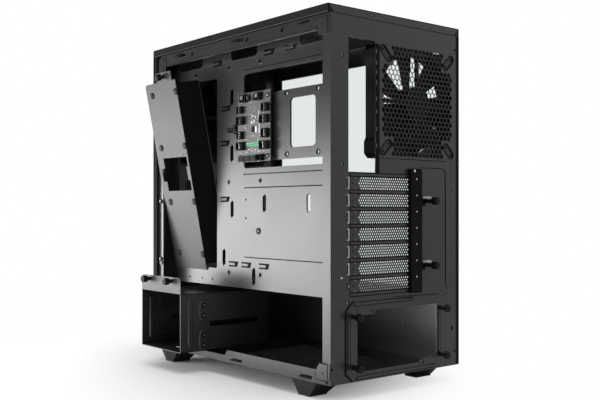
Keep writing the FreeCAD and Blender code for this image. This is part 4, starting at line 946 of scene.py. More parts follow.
@dataclass
class FanGrille:
    """The honeycomb of the rear panel, with its four sunk screw seats, whose walls are painted in shade."""

    pitch: float = 6.85 * MM
    across: float = 6.0 * MM
    half_width: float = 62.5 * MM
    half_height: float = 66.0 * MM
    corner: float = 46.0 * MM
    seat_radius: float = 4.4 * MM
    seat_depth: float = 0.9 * MM
    seat_wall: float = 1.1 * MM
    seat_lip: float = 0.5 * MM
    seat_ends: tuple[float, float] = (52.5 * MM, 62.5 * MM)
    screw_hole: float = 1.7 * MM
    gauge: float = 0.8 * MM

    def holes(self, x: float, z: float) -> list[np.ndarray]:
        """The honeycomb's holes: rows half a pitch apart in turn, left out in the four corners.

        Args:
            x: the middle of the grille.
            z: the middle of the grille.

        Returns:
            One clockwise hexagon for each hole.
        """
        rise = self.pitch * math.sqrt(3) / 2
        row, column = np.meshgrid(np.arange(-14, 15), np.arange(-12, 13), indexing="ij")
        across = (column + (row % 2) / 2) * self.pitch
        up = row * rise
        kept = (np.abs(across) < self.half_width) & (np.abs(up) < self.half_height)
        kept &= np.minimum(np.abs(across), np.abs(up)) < self.corner
        radius = self.across / math.sqrt(3)
        return [ring(x + a, z + b, radius, 6, 30) for a, b in zip(across[kept], up[kept])]

    def build(self, bench: Bench) -> None:
        """The pierced square and its seats.

        Args:
            bench: where the pieces are made.
        """
        low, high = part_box("rear_fan_grille")
        x, z = (low[0] + high[0]) / 2, (low[2] + high[2]) / 2
        face = rear_face()
        walls, beds, openings = [], [], []
        for side, up in ((-1, -1), (1, -1), (1, 1), (-1, 1)):
            ends = [(x + side * reach, z + up * reach) for reach in self.seat_ends]
            brim = obround(ends, self.seat_radius + self.seat_wall)
            mouth = obround(ends, self.seat_radius)
            bores = [ring(*end, self.screw_hole, 14) for end in ends]
            openings.append(brim[::-1])
            walls.append(sheet([brim, mouth[::-1]], Facing.REAR, face + self.seat_lip,
                               self.seat_depth + self.seat_lip))
            beds.append(sheet([mouth, *bores], Facing.REAR, face - self.seat_depth, 0.1 * MM))
        outline = rounded(low[0], low[2], high[0], high[2], 1 * MM, 2)
        plate = sheet([outline, *self.holes(x, z), *openings], Facing.REAR, face, self.gauge)
        bench.piece("honeycomb", plate, BLACK_STEEL, instead_of=("rear_fan_grille",))
        # The seat walls wear the painted-shade coat, so the recesses read dark.
        bench.piece("fan_seat_wall_shade", Form.joined(walls), SHADE_STEEL)
        bench.piece("fan_seat_beds", Form.joined(beds), COVER_STEEL)


@dataclass
class SlotCovers:
    """The seven blanking covers with their five rows of round vents, and the ridges between them, each
    outlined by a film of painted shade.
    """

    pitch: float = 3.63 * MM
    vent: float = 1.32 * MM
    vents: int = 25
    middle: float = -5.0 * MM
    gauge: float = 1.0 * MM
    hook: float = 8.0 * MM
    hook_half: float = 6.0 * MM
    hook_lip: float = 1.6 * MM
    bend_half: float = 7.4 * MM
    ridge_rise: float = 0.9 * MM
    ridge_radius: float = 1.3 * MM
    ridge_slope: float = 0.5 * MM
    shade_margin: float = 1.4 * MM
    ridge_ends: tuple[float, float] = (53.0 * MM, -46.0 * MM)

    def vent_rows(self, z: float) -> list[np.ndarray]:
        """Round vents in five rows, each a vent shorter than the one nearer the middle.

        Args:
            z: the height of the middle row.

        Returns:
            One clockwise outline for each vent.
        """
        rows = []
        for row in range(-2, 3):
            count = self.vents - abs(row)
            places = self.middle + (np.arange(count) - (count - 1) / 2) * self.pitch
            level = z + row * self.pitch * math.sqrt(3) / 2
            rows += [ring(x, level, self.vent, 8, 22.5) for x in places]
        return rows

    def cover(self, bench: Bench, number: int) -> None:
        """One cover: its pierced plate, its hook, its bent tab and the hook's lip.

        Args:
            bench: where it is made.
            number: which slot it closes.
        """
        node = f"slot_cover_{number}"
        low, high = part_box(node)
        z = slot_middle(number)
        foot, top, half = z - self.hook_half, z + self.hook_half, self.bend_half
        inside = rear_face() - 1 * MM
        plate = sheet([rounded(low[0], low[2], high[0] - self.hook, high[2], 1 * MM, 3), *self.vent_rows(z)],
                      Facing.REAR, inside, self.gauge)
        hook = sheet([rounded(high[0] - self.hook - 0.5 * MM, foot, high[0], top, 1 * MM, 3)],
                     Facing.REAR, inside, self.gauge)
        bent = raised([rounded(low[0], z - half, low[0] + self.gauge, z + half, 0.4 * MM, 3)], Facing.REAR,
                      inside, high[1] - inside)
        lip = raised([rounded(high[0] - self.gauge, foot, high[0], top, 0.4 * MM, 3)], Facing.REAR, inside,
                     self.hook_lip)
        bench.piece(f"slot_blank_{number}", Form.joined([plate, hook, bent, lip]), BLACK_STEEL,
                    instead_of=(node,))

    def build(self, bench: Bench) -> None:
        """All covers, with a rounded ridge above and below each, on a wider film of painted shade that draws
        the ridge's dark outline.

        Args:
            bench: where the pieces are made.
        """
        for number in range(1, 8):
            self.cover(bench, number)
        middles = [slot_middle(number) for number in range(1, 8)]
        half_step = (middles[0] - middles[1]) / 2
        levels = [middles[0] + half_step] + [z - half_step for z in middles]
        start, end = self.ridge_ends
        lines = [[(end, z), (start, z)] for z in levels]
        face = rear_face()
        ridges = [raised([obround(line, self.ridge_radius)], Facing.REAR, face, self.ridge_rise,
                         self.ridge_slope) for line in lines]
        bench.piece("slot_ridges", Form.joined(ridges), BLACK_STEEL)
        # Painted shade: a near-black film round each ridge stands for the shading along its edges.
        shade_films = [raised([obround(line, self.ridge_radius + self.shade_margin)], Facing.REAR, face, SHADE_FILM * MM)
                   for line in lines]
        bench.piece("slot_ridge_shade", Form.joined(shade_films), SHADE_STEEL)


@dataclass
class HandScrews:
    """The tower's hand screws: each a neck and a knurled head with a cross recess.

    A set is (node, the axis its screws stand along, the axis and angle they are turned by, the length of a
    head in millimetres, body)."""

    radius: float = 4.5 * MM
    neck_share: float = 0.62
    teeth: int = 30
    bite: float = 0.35 * MM
    sets: tuple = (("psu_thumbscrews", "Y", "X", -90, 7, "chassis"),
                   ("slot_thumbscrews", "Y", "X", -90, 9, "chassis"),
                   ("cage_thumbscrews", "X", "Y", 90, 8, "drive_cage_slide"))
    cover_length: float = 12.0 * MM
    cover_head: float = 8.0 * MM

    def screw(self, length: float, head: float) -> Form:
        """One screw, facing +Z from its seat.

        Args:
            length: from its seat to its end.
            head: length of its head.

        Returns:
            Its form: the knurl is a cosine on the head's radius.
        """
        radius, bite = self.radius, self.bite
        neck = radius * self.neck_share
        floor = length - 1.8 * bite
        profile = [(neck, 0), (neck, length - head - bite), (neck * 1.05, length - head),
                   (radius - bite, length - head), (radius, length - head + bite, 1),
                   (radius, length - 2.4 * bite, 1), (radius - 0.6 * bite, length - 1.4 * bite),
                   (radius * 0.8, length - bite), (radius * 0.76, floor), (radius * 0.3, floor)]
        body = lathe(profile, self.teeth * 4, lambda angle: 0.05 * np.cos(self.teeth * angle))
        return Form.joined([body, screw_head(radius * 0.55, bite * 1.7).moved(0, 0, floor)])

    def places(self, low: Numbers, high: Numbers, axis: int) -> list[tuple[float, float, float]]:
        """Where the screws of a set stand: at the corners of its box, or in the middle of a narrow side.

        Args:
            low: the box's lowest corner.
            high: its highest corner.
            axis: the axis that the screws stand along, from the box's lower side.

        Returns:
            The foot of each screw.
        """
        spans = []
        for start, end in zip(low, high):
            wide = end - start > 2.5 * self.radius
            spans.append(sorted({start + self.radius, end - self.radius}) if wide else [(start + end) / 2])
        spans[axis] = [low[axis]]
        return [(x, y, z) for x in spans[0] for y in spans[1] for z in spans[2]]

    def build(self, bench: Bench) -> None:
        """Every set of hand screws, then the one that leans with the cable cover.

        Args:
            bench: where the pieces are made.
        """
        for node, along, about, turn, head, body in self.sets:
            low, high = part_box(node)
            axis = "XYZ".index(along)
            one = self.screw(high[axis] - low[axis], head * MM).turned(about, turn)
            forms = [one.moved(*place) for place in self.places(low, high, axis)]
            bench.piece(node.replace("thumb", "hand_"), Form.joined(forms), BLACK_KNOB, body,
                        (node,))
        low, high = (np.array(corner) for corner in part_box("cover_thumbscrew"))
        one = self.screw(self.cover_length, self.cover_head).moved(0, 0, -self.cover_length / 2)
        one = one.turned("Y", 90 + COVER_LEAN).moved(*(low + high) / 2)
        bench.piece("cover_hand_screw", one, BLACK_KNOB, "cable_cover_leaf",
                    ("cover_thumbscrew",))


# ---------------------------------------------------------------- tray, hub and cable cover

@dataclass
class Tray:
    """The sheet that carries the main board: its windows, slots, tie bridges and pressed panels.

    Places and openings are (y, z) or (y, z, y, z) in millimetres."""

    gauge: float = 1.0 * MM
    press: float = 1.2 * MM
    slope: float = 1.5 * MM
    slot_half: float = 9.0
    slot_radius: float = 3.8
    slot_point: float = 3.2
    slots: tuple = ((-43.1, 379), (-43.1, 302), (-42.4, 225), (-62, 158), (7.3, 135), (32.3, 232.5),
                    (121.8, 232.5))
    bridges: tuple = ((-89, 426), (30.5, 426), (76, 426), (-68.5, 361), (-70.5, 313), (-70.5, 235),
                      (-50.5, 146), (-20.5, 146), (19, 146))
    dimples: tuple = ((-49.8, 420), (21.7, 420), (-133, 419), (-50, 262.3), (22, 262.3), (-50, 138),
                      (22, 138))
    dimple_hole: float = 2.7
    dimple_rim: float = 3.3
    holes: tuple = ((-149.5, 126), (-116.8, 126), (-90.5, 126), (-58, 126), (-8.7, 237.7), (-8.7, 212.8),
                    (-58, 389))
    small_hole: float = 1.6
    roof_gaps: tuple = ((-180, -115), (-44.5, 15), (104, 159))
    roof_gap_foot: float = 429.0
    cooler: tuple = (-13, 279.6, 159, 406.3)
    cable_window: tuple = (-179, 142, -79, 409)
    drive_panel: tuple = (-15, 161, 164, 253)
    cooler_panel: tuple = (-17, 272.6, 180, 411.4)
    hook: tuple = (19.6, 196.1)

    def slot(self, y: float, z: float) -> np.ndarray:
        """A strap slot with pointed ends.

        Args:
            y: its middle, in millimetres.
            z: the same.

        Returns:
            Its outline, clockwise.
        """
        wide, long, point = self.slot_radius, self.slot_half, self.slot_half + self.slot_point
        return mm_loop([(-wide, -long), (-wide, long), (wide * 0.3, point), (wide, long), (wide, -long),
                        (-wide * 0.3, -point)], y, z)

    def bridge(self, y: float, z: float) -> np.ndarray:
        """The C-shaped cut round a tie bridge's tongue, clockwise, from its lower front corner in mm."""
        return mm_loop([(0, 0), (0, 2.1), (15.5, 2.1), (18, 5.4), (0, 5.4), (0, 7.5), (23, 7.5), (20, 0)],
                       y, z)

    @staticmethod
    def within(loop: np.ndarray, area: Numbers) -> bool:
        """Whether an outline lies inside an area."""
        low, high = loop.min(axis=0) / MM, loop.max(axis=0) / MM
        return bool(area[0] < low[0] and high[0] < area[2] and area[1] < low[1] and high[1] < area[3])

    def cuts(self) -> list[np.ndarray]:
        """Every small opening: strap slots, tie bridges, dimpled holes and plain holes.

        Returns:
            Their outlines, clockwise.
        """
        made = [self.slot(*place) for place in self.slots] + [self.bridge(*place) for place in self.bridges]
        made += [ring(*mm(*place, self.dimple_hole), 16) for place in self.dimples]
        return made + [ring(*mm(*place, self.small_hole), 10) for place in self.holes]

    @staticmethod
    def tongue(y: float, z: float, face: float) -> Form:
        """A tie bridge's lifted tongue: a strip that rises from the sheet towards its free end.

        Args:
            y: the bridge's lower front corner, in millimetres.
            z: the same.
            face: the tray's face.

        Returns:
            The strip, 1.1 mm thick.
        """
        foot, tip, low, high = mm(y - 1.5, y + 16.5, z + 2.4, z + 5.1)
        sunk, lifted = face - 1 * MM, face + 0.6 * MM
        back = np.array([(sunk, foot, low), (lifted, tip, low), (lifted, tip, high), (sunk, foot, high)])
        return slab(back, back + mm(1.1, 0, 0))

    def build(self, bench: Bench) -> None:
        """The sheet, its two pressed panels, the dimples round its larger holes and the tongues.

        Args:
            bench: where the pieces are made.
        """
        low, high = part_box("motherboard_tray")
        face = high[0]
        cuts = self.cuts()
        cooler = rounded(*mm(*self.cooler, 5))[::-1]
        window = rounded(*mm(*self.cable_window, 3))[::-1]
        roof = [rounded(*mm(start, self.roof_gap_foot, end), high[2] - 2 * MM, 6 * MM)[::-1]
                for start, end in self.roof_gaps]
        outline = rounded(low[1], low[2], high[1], high[2], 1 * MM, 2)
        plate = sheet([outline, cooler, window, *roof, *cuts], Facing.RIGHT, face, self.gauge)
        bench.piece("board_tray", plate, BLACK_STEEL, instead_of=("motherboard_tray",))
        panels = []
        for area, extra in ((self.drive_panel, []), (self.cooler_panel, [cooler])):
            inside = [loop for loop in cuts if self.within(loop, area)]
            panels.append(raised([rounded(*mm(*area, 4)), *extra, *inside], Facing.RIGHT, face, self.press,
                                 self.slope))
        bench.piece("tray_pressed_panels", Form.joined(panels), BLACK_STEEL)
        rims = [raised([disc(*mm(*place, self.dimple_rim), 18), ring(*mm(*place, self.dimple_hole), 16)],
                       Facing.RIGHT, face, 0.2 * MM, 0.4 * MM) for place in self.dimples]
        bench.piece("tray_dimples", Form.joined(rims), BLACK_STEEL)
        bench.piece("tie_bridge_tongues", Form.joined(self.tongue(*place, face) for place in self.bridges),
                    BLACK_STEEL)
        self.hook_screw(bench, face + self.press)

    def hook_screw(self, bench: Bench, face: float) -> None:
        """The collar and screw in the middle of the drive panel.

        Args:
            bench: where the pieces are made.
            face: the panel's face.
        """
        collar = raised([disc(*mm(*self.hook, 4.4), 28), ring(*mm(*self.hook, 2.6), 20)], Facing.RIGHT, face,
                        1 * MM)
        bench.piece("tray_hook_collar", collar, SOCKET_NYLON, bevel=0.3 * MM)
        screw = screw_head(*mm(2.3, 1.2)).turned("Y", 90).moved(face, *mm(*self.hook))
        bench.piece("tray_hook_screw", screw, DULL_STEEL)


@dataclass
class HubPlate:
    """The plate across the cooler cut-out, with a rounded window and four raised screw holes, and a tie clip.

    Places are in millimetres; a lobe of the clip is (y, z, radius)."""

    window: tuple[float, float, float, float] = (86.5, 302.6, 135.6, 365.0)
    holes: tuple = ((79.4, 371.6), (140.3, 371.6), (79.4, 294.6), (140.3, 294.6))
    hole: float = 2.9
    hole_rim: float = 3.5
    lift: float = 0.6 * MM
    gauge: float = 2.4 * MM
    clip_lobes: tuple = ((-46.5, 333.6, 3.4), (-30.5, 330.6, 3.8), (-31, 337.4, 3.2), (-38, 334.2, 2.4))
    clip_bar: tuple[float, float, float, float] = (-46, 332, -29, 336)

    def build(self, bench: Bench) -> None:
        """The plate with its raised rings, then the clip.

        Args:
            bench: where the pieces are made.
        """
        low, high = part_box("hub_bracket")
        face = high[0] + self.lift
        holes = [ring(*mm(*place, self.hole), 18) for place in self.holes]
        window = rounded(*mm(*self.window, 5.5), 7)[::-1]
        outline = rounded(low[1], low[2], high[1], high[2], 3 * MM)
        plate = sheet([outline, window, *holes], Facing.RIGHT, face, self.gauge)
        rings = [raised([disc(*mm(*place, self.hole_rim), 22), hole], Facing.RIGHT, face, 0.8 * MM, 0.7 * MM)
                 for place, hole in zip(self.holes, holes)]
        bench.piece("hub_plate", Form.joined([plate, *rings]), BLACK_STEEL, instead_of=("hub_bracket",))
        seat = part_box("cable_clip")[0][0]
        clip = [studs(self.clip_lobes, Facing.RIGHT, seat, 5, 18),
                plates([self.clip_bar], Facing.RIGHT, seat, 4.4, 1.2)]
        bench.piece("tie_clip", Form.joined(clip), SOCKET_NYLON,
                    instead_of=("cable_clip",))


@dataclass
class HubElectronics:
    """The fan and light hub's connectors and chips.

    An area is (y, z, width, height) from the board's lower front corner, in millimetres, as is every rise."""

    left: tuple = ((3, 65, 10, 9.5), (1.5, 50, 14.5, 11), (3, 31, 10, 10), (1.5, 16, 14.5, 11))
    right: tuple = ((57, 64, 12, 11), (53, 49, 16, 11), (57, 30, 12, 12), (53, 15, 16, 11))
    header_rise: float = 5.2
    wall: float = 0.9
    jacks: tuple = ((7, 0.6, 12, 7.5), (20.5, 0.6, 12, 7.5), (34, 0.6, 10, 7.5))
    corner_jack: tuple = (47, 0.6, 11, 8.5)
    sockets: tuple = ((9, 79.5, 13, 10.5), (42, 79.5, 12, 10.5))
    cores: tuple = ((11.5, 82.8, 6, 5.2), (44, 82.8, 6, 5.2), (26.5, 82.5, 1.8, 4), (38, 83.5, 1.8, 4))
    chip: tuple = (32, 39, 5, 7.4)
    capacitors: tuple = ((24, 80.5, 4, 7.5), (35.5, 80.5, 4, 7.5))
    joints: tuple = ((27, 78), (31, 77), (38, 78.5), (44, 77), (49, 76.5), (15, 74), (17, 61), (17, 44),
                     (44, 27), (47, 41), (24, 16), (31, 14), (39, 15), (46, 13), (30, 57), (35, 54))
    marks: tuple = ((46, 55.5, 0.7, 11.5), (47, 37, 0.7, 12.5), (38.6, 38.8, 2.6, 7.4), (29, 51.6, 4, 0.8),
                    (30.6, 50, 0.8, 4), (36, 50.5, 0.7, 4.5), (38.4, 57, 0.7, 3), (31, 60, 3.5, 0.7))
    dots: tuple = (60, 57, 54, 51, 72, 69)
    screws: tuple = ((5.5, 6.5), (66, 6.5), (66, 85), (5.5, 86))

    def __post_init__(self) -> None:
        """Take the board's face and its lower front corner from the frame."""
        low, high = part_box("hub_board")
        self.face = high[0]
        self.corner = (low[1] / MM, low[2] / MM)

    def blocks(self, areas: Iterable[Numbers], rise: float, radius: float = 0.1, steps: int = 2,
               foot: float = 0.0) -> Form:
        """Flat blocks on the board.

        Args:
            areas: where they stand.
            rise: their height.
            radius: of their corners.
            steps: points on each corner.
            foot: how far above the board they start.

        Returns:
            All of them as one form.
        """
        y0, z0 = self.corner
        boxes = [(y0 + y, z0 + z, y0 + y + width, z0 + z + height) for y, z, width, height in areas]
        return plates(boxes, Facing.RIGHT, self.face + foot * MM, rise - foot, radius, steps)

    def shell(self, area: Numbers, rise: float) -> Form:
        """A connector's open shell.

        Args:
            area: where it stands.
            rise: its height.

        Returns:
            Its four walls, and its bed with a keying rib.
        """
        y, z, width, height = area
        wall = self.wall
        left, low = self.corner[0] + y, self.corner[1] + z
        right, high = left + width, low + height
        outer = rounded(*mm(left, low, right, high, 0.4), 2)
        mouth = rounded(*mm(left + wall, low + wall, right - wall, high - wall, 0.2), 2)
        walls = raised([outer, mouth[::-1]], Facing.RIGHT, self.face, rise * MM)
        bed = self.blocks([(y + wall, z + wall, width - 2 * wall, height - 2 * wall)], rise * 0.25, 0.2)
        rib = (y + width * 0.4, z + height - wall * 1.6, width * 0.2, wall * 0.7)
        return Form.joined([walls, bed, self.blocks([rib], rise, foot=rise * 0.3)])

    @staticmethod
    def pins(area: Numbers, count: int) -> list[tuple[float, float, float, float]]:
        """The areas of a connector's upright row of contact pins."""
        y, z, width, height = area
        return [(y + width * 0.5 - 0.5, z + height * (k + 1) / (count + 1) - 0.5, 1, 1) for k in range(count)]

    def build(self, bench: Bench) -> None:
        """Connectors and their pins, sockets, terminal row, chips, marks and screws.

        Args:
            bench: where the pieces are made.
        """
        shells = [self.shell(area, self.header_rise) for area in self.left + self.right]
        bench.piece("header_shells", Form.joined(shells), SOCKET_NYLON,
                    instead_of=("hub_headers",))
        pins = [pin for group, count in ((self.left, 3), (self.right, 4)) for area in group
                for pin in self.pins(area, count)]
        bench.piece("header_pins", self.blocks(pins, self.header_rise * 0.9), TINNED_STEEL)
        bench.piece("lower_jacks", self.blocks(self.jacks, 5, 0.6, 3), SHADED_SKIRT_STEEL)
        bench.piece("lower_corner_jack", self.shell(self.corner_jack, 6), SOCKET_NYLON)
        bench.piece("power_sockets", Form.joined(self.shell(area, 5) for area in self.sockets), SOCKET_NYLON,
                    instead_of=("hub_power_sockets",))
        bench.piece("power_socket_cores", self.blocks(self.cores, 5.4, 0.4, 3), DULL_STEEL)
        wells = [self.shell((23 + 4.4 * k, 21, 4.2, 3.8), 3) for k in range(6)]
        bench.piece("terminal_wells", Form.joined(wells), GREEN_NYLON,
                    instead_of=("hub_light_strip",))
        teeth = [(23.4 + 4.4 * k, 25, 2.8, 1.4) for k in range(6)]
        bench.piece("terminal_comb", self.blocks(teeth, 2.6, 0.2), DULL_STEEL)
        self.soldered_parts(bench)

    def soldered_parts(self, bench: Bench) -> None:
        """Chips with their legs, small soldered parts, white marks and corner screws.

        Args:
            bench: where the pieces are made.
        """
        resin = [self.blocks([self.chip], 1.6, 0.3), self.blocks(self.capacitors, 2.6, 0.4)]
        bench.piece("hub_resin_parts", Form.joined(resin), SOCKET_NYLON,
                    instead_of=("hub_chips",))
        legs = [(side, 39.6 + 1.6 * k, 1, 0.8) for side in (31.2, 36.8) for k in range(4)]
        joints = [(*place, 1.4, 0.9) for place in self.joints]
        solder = Form.joined([self.blocks(legs, 0.5), self.blocks(joints, 0.6)])
        bench.piece("hub_solder", solder, TINNED_STEEL)
        dots = [(0.9, z, 0.8, 0.8) for z in self.dots]
        bench.piece("hub_marks", self.blocks([*self.marks, *dots], 0.12), WHITE_NYLON)
        places = [(self.corner[0] + y, self.corner[1] + z) for y, z in self.screws]
        washers = studs([(*place, 3.4) for place in places], Facing.RIGHT, self.face, 0.5)
        bench.piece("hub_washers", washers, SOCKET_NYLON)
        head = screw_head(*mm(1.7, 1.2)).turned("Y", 90)
        heads = [head.moved(self.face + 0.5 * MM, *mm(*place)) for place in places]
        bench.piece("hub_screws", Form.joined(heads), CUT_STEEL)


@dataclass
class CableCover:
    """The leaning cable cover: plate, stepped window, deep side wall in painted shade with its lip as a
    painted highlight, and ringed screws.

    It is made upright with its hook line at Z 0 and its back at X 0; places on it are in millimetres."""

    width: float = 82.0 * MM
    height: float = 272.5 * MM
    tab: float = 13.0 * MM
    gauge: float = 1.2 * MM
    wall: float = 38.0 * MM
    window: tuple = ((15.5, 115.5), (15.5, 129.5), (6.4, 129.5), (6.4, 149.2), (15.5, 149.2), (15.5, 164),
                     (78.5, 164), (78.5, 115.5))
    ticks: tuple = ((71.6, 167.5), (78.8, 168.5))
    fold: tuple = (69, 130, 78.2, 149.2)
    hooks: tuple = (14, 56)
    screw_y: tuple[float, float] = (15.6, 79.2)
    screw_z: tuple[float, ...] = (22.8, 99.3, 179.3, 255.8)

    def placed(self, form: Form) -> Form:
        """A form that was made upright, leaned out and put in its place.

        Args:
            form: the upright form.

        Returns:
            The leaning form, with the cover's tab at the top of its node's box.
        """
        low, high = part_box("cable_cover")
        angle = math.radians(COVER_LEAN)
        top = self.height + self.tab
        x = high[0] - top * math.sin(angle) - self.gauge * math.cos(angle)
        z = high[2] - top * math.cos(angle)
        return form.turned("Y", COVER_LEAN).moved(x, low[1], z)

    def outline(self) -> np.ndarray:
        """The plate's outline with its cut corners and its tab.

        Returns:
            The outline, anticlockwise.
        """
        wide, high, top = self.width / MM, self.height / MM, (self.height + self.tab) / MM
        return mm_loop([(0, 2), (2, 0), (wide, 0), (wide, high), (wide - 9, high), (wide - 9, top - 1),
                        (wide - 10, top), (wide - 47, top), (wide - 48, top - 1), (wide - 48, high),
                        (4, high), (1.2, high - 1.2), (0, high - 4)])

    def build(self, bench: Bench) -> None:
        """The plate and its wall, then the fittings.

        Args:
            bench: where the pieces are made.
        """
        leaf, slot = "cable_cover_leaf", "cover_black"
        wide, high = self.width, self.height
        catch = rounded(36 * MM, high + 3 * MM, 41 * MM, high + 9 * MM, 1 * MM, 3)[::-1]
        ticks = [ring(*mm(*place, 1.1), 8) for place in self.ticks]
        plate = sheet([self.outline(), mm_loop(self.window), catch, *ticks], Facing.RIGHT, self.gauge,
                      self.gauge)
        fold = sheet([rounded(*mm(*self.fold, 0.5), 2)], Facing.RIGHT, -2 * MM, self.gauge)
        sill = wedge(mm(-4, 0), mm(-4, 0), mm(15.5, 78.5), mm(114.6, 115.4))
        hooks = [wedge(mm(-3.6, -2.6), mm(-3.6, 0.4), mm(y, y + 12), mm(-1, 5.2)) for y in self.hooks]
        bench.piece("cover_plate", self.placed(Form.joined([plate, fold, sill, *hooks])), COVER_STEEL, leaf,
                    ("cable_cover",))
        # Painted shade: the side wall wears the near-black shade coat.
        side = sheet([rounded(-self.wall, 8 * MM, 0.2 * MM, high - 5 * MM, 1 * MM, 2)], Facing.REAR, wide,
                     1 * MM)
        bench.piece("cover_side_wall_shade", self.placed(side), SHADE_STEEL, leaf)
        # Painted highlight: the lip is bare steel, bright along the wall's edge.
        lip = sheet([rounded(wide - 0.5 * MM, 10 * MM, wide + 1.2 * MM, high - 7 * MM, 0.3 * MM, 2)],
                    Facing.RIGHT, -self.wall + 1 * MM, 0.8 * MM)
        bench.piece("cover_wall_lip_highlight", self.placed(lip), DULL_STEEL, leaf)
        collar = lathe([mm(4.7, 0), mm(4.7, 0.7), mm(4.3, 1.1), mm(1.6, 1.1)], 28).turned("Y", 90)
        head = screw_head(*mm(2.2, 0.9)).moved(0, 0, 0.9 * MM).turned("Y", 90)
        places = [(self.gauge, *mm(y, z)) for y in self.screw_y for z in self.screw_z]
        collars = Form.joined(collar.moved(*place) for place in places)
        heads = Form.joined(head.moved(*place) for place in places)
        bench.piece("cover_rubber_rings", self.placed(collars), SOCKET_NYLON, leaf,
                    ("drive_studs",))
        bench.piece("cover_screw_heads", self.placed(heads), COVER_STEEL, leaf)


# ---------------------------------------------------------------- rear trim, cage, cap and rails

@dataclass
class RearTrim:
    """The rear face's small parts: the folded connector rim, rivets, pressed lines and slot fittings, much of
    it drawn as painted highlight and painted shade.

    Places are (x, z), and areas (x, z, x, z), in millimetres."""

    rim: tuple[float, float, float, float] = (6.2, 266, 12.9, 425.6)
    rim_springs: tuple[float, ...] = (416, 402, 391, 378, 358.5, 343, 321.8, 301.7)
    rivets: tuple = ((67.6, 405.3), (67.6, 277.2), (59, 114.8), (-107.5, 115), (-50, 122.4))
    holes: tuple = ((83.2, 38.7, 1.5), (-131.9, 38.7, 1.5), (-133.4, 434.6, 1.5), (-126.9, 69.1, 2.6),
                    (-126.9, 250, 1.2))
    lines: tuple = (((4, 287), (-115, 287)),
                    ((-66, 277.4), (-109, 277.4), (-112.5, 276), (-114.5, 272), (-115.4, 126),
                     (-118.9, 121.2)),
                    ((57, 266.2), (12, 266.2)), ((54, 125), (-42, 122)), ((-18, 117), (-100, 115.6)))
    edge_line: tuple = ((55.1, 266), (55.1, 122))
    bar: tuple[float, float, float, float] = (-64, 120, -44.4, 275.6)
    bar_highlight_dot: tuple[float, float, float, float] = (-51.4, 271.2, -48.4, 274.2)

    def build(self, bench: Bench) -> None:
        """The rivets, holes and pressed lines, then the connector rim and the slot side, as painted
        highlights and films of painted shade.

        Args:
            bench: where the pieces are made.
        """
        face = rear_face()
        # Painted light: bright crescents as the rivet cups' highlights, and near-black films of painted shade
        # for the cups' hollows, the small holes and the pressed lines.
        rims, beds = cups(self.rivets, Facing.REAR, face, 2.5)
        bench.piece("rear_rivet_highlights", rims, CUT_STEEL)
        bench.piece("rear_rivet_shade", beds, SHADE_STEEL)
        bench.piece("rear_hole_shade", studs(self.holes, Facing.REAR, face, 0.12, 16), SHADE_STEEL)
        bench.piece("rear_pressed_line_shade", creases(self.lines, Facing.REAR, face, 0.9, 0.3), SHADE_STEEL)
        # The connector rim is a near-black band of painted shade standing for the folded rim's dark side.
        bench.piece("connector_rim", raised([rounded(*mm(*self.rim, 2.4))], Facing.REAR, face, 0.3 * MM),
                    SHADE_STEEL)
        x = self.rim[2] - 1.4
        springs = plates([(x - 0.5, z - 2.5, x + 0.5, z + 2.5) for z in self.rim_springs], Facing.REAR,
                         face + 0.3 * MM, 0.3)
        bench.piece("connector_rim_springs", springs, DULL_STEEL)
        middles = [slot_middle(number) / MM for number in range(1, 8)]
        self.cover_edges(bench, face, middles)
        self.screw_bar(bench, face, middles)

    def cover_edges(self, bench: Bench, face: float, middles: Numbers) -> None:
        """Bright strips of painted light where the slits beside the connector opening let light through, a
        line and dots of painted shade along them, and the light dots on the covers.

        Args:
            bench: where the pieces are made.
            face: the rear face.
            middles: the heights of the covers, in millimetres.
        """
        # Painted light: bare-steel strips stand for light seen through the slits.
        slits = [(56, z - 7.2, 59.2, z + 7.2) for z in middles[:6]]
        slits.append((56.4, middles[6] - 1, 58.4, middles[6] + 1))
        bench.piece("slot_slit_light", plates(slits, Facing.REAR, face, 0.3, 0.8), CUT_STEEL)
        # Painted shade: the dark line and dots.
        line = creases([self.edge_line], Facing.REAR, face, 1, 0.4)
        dark = plates([(49.5, z - 1.2, 51, z + 1.2) for z in middles], Facing.REAR, face, 0.2, 0.5)
        bench.piece("slot_edge_shade", Form.joined([line, dark]), SHADE_STEEL)
        dots = [(46.2, z + up - 0.6, 47.6, z + up + 0.6) for z in middles for up in (-6.3, 6.3)]
        bench.piece("slot_edge_dots", plates(dots, Facing.REAR, face, 0.4, 0.5), CUT_STEEL)

    def screw_bar(self, bench: Bench, face: float, middles: Numbers) -> None:
        """The bar over the covers' screws, with the lugs that its hand screws go through, painted shadows
        under the screws, dots of painted highlight on the bar and a painted highlight along its edge.

        Args:
            bench: where the pieces are made.
            face: the rear face.
            middles: the heights of the covers, in millimetres.
        """
        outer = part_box("slot_screw_cover")[1][1]
        low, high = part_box("slot_thumbscrews")
        screws = (low[2] / MM + 4.5, high[2] / MM - 4.5)
        # Painted shadows: near-black plates under the hand screws.
        shadows = plates([(-76, z - 6.6, -65, z + 2.4) for z in screws], Facing.REAR, face, 0.3, 1.4)
        bench.piece("slot_screw_shadows", shadows, SHADE_STEEL)
        # The bar wears the painted-shade coat: its own black, deepened into painted shade.
        bar = raised([rounded(*mm(*self.bar, 2.5))], Facing.REAR, face, outer - face)
        bench.piece("slot_screw_bar", bar, SHADE_STEEL, instead_of=("slot_screw_cover",))
        lugs = plates([(-82, z + 2.9, -66, z + 5.9) for z in screws], Facing.REAR, face, 5, 0.8)
        bench.piece("slot_screw_lugs", lugs, CUT_STEEL)
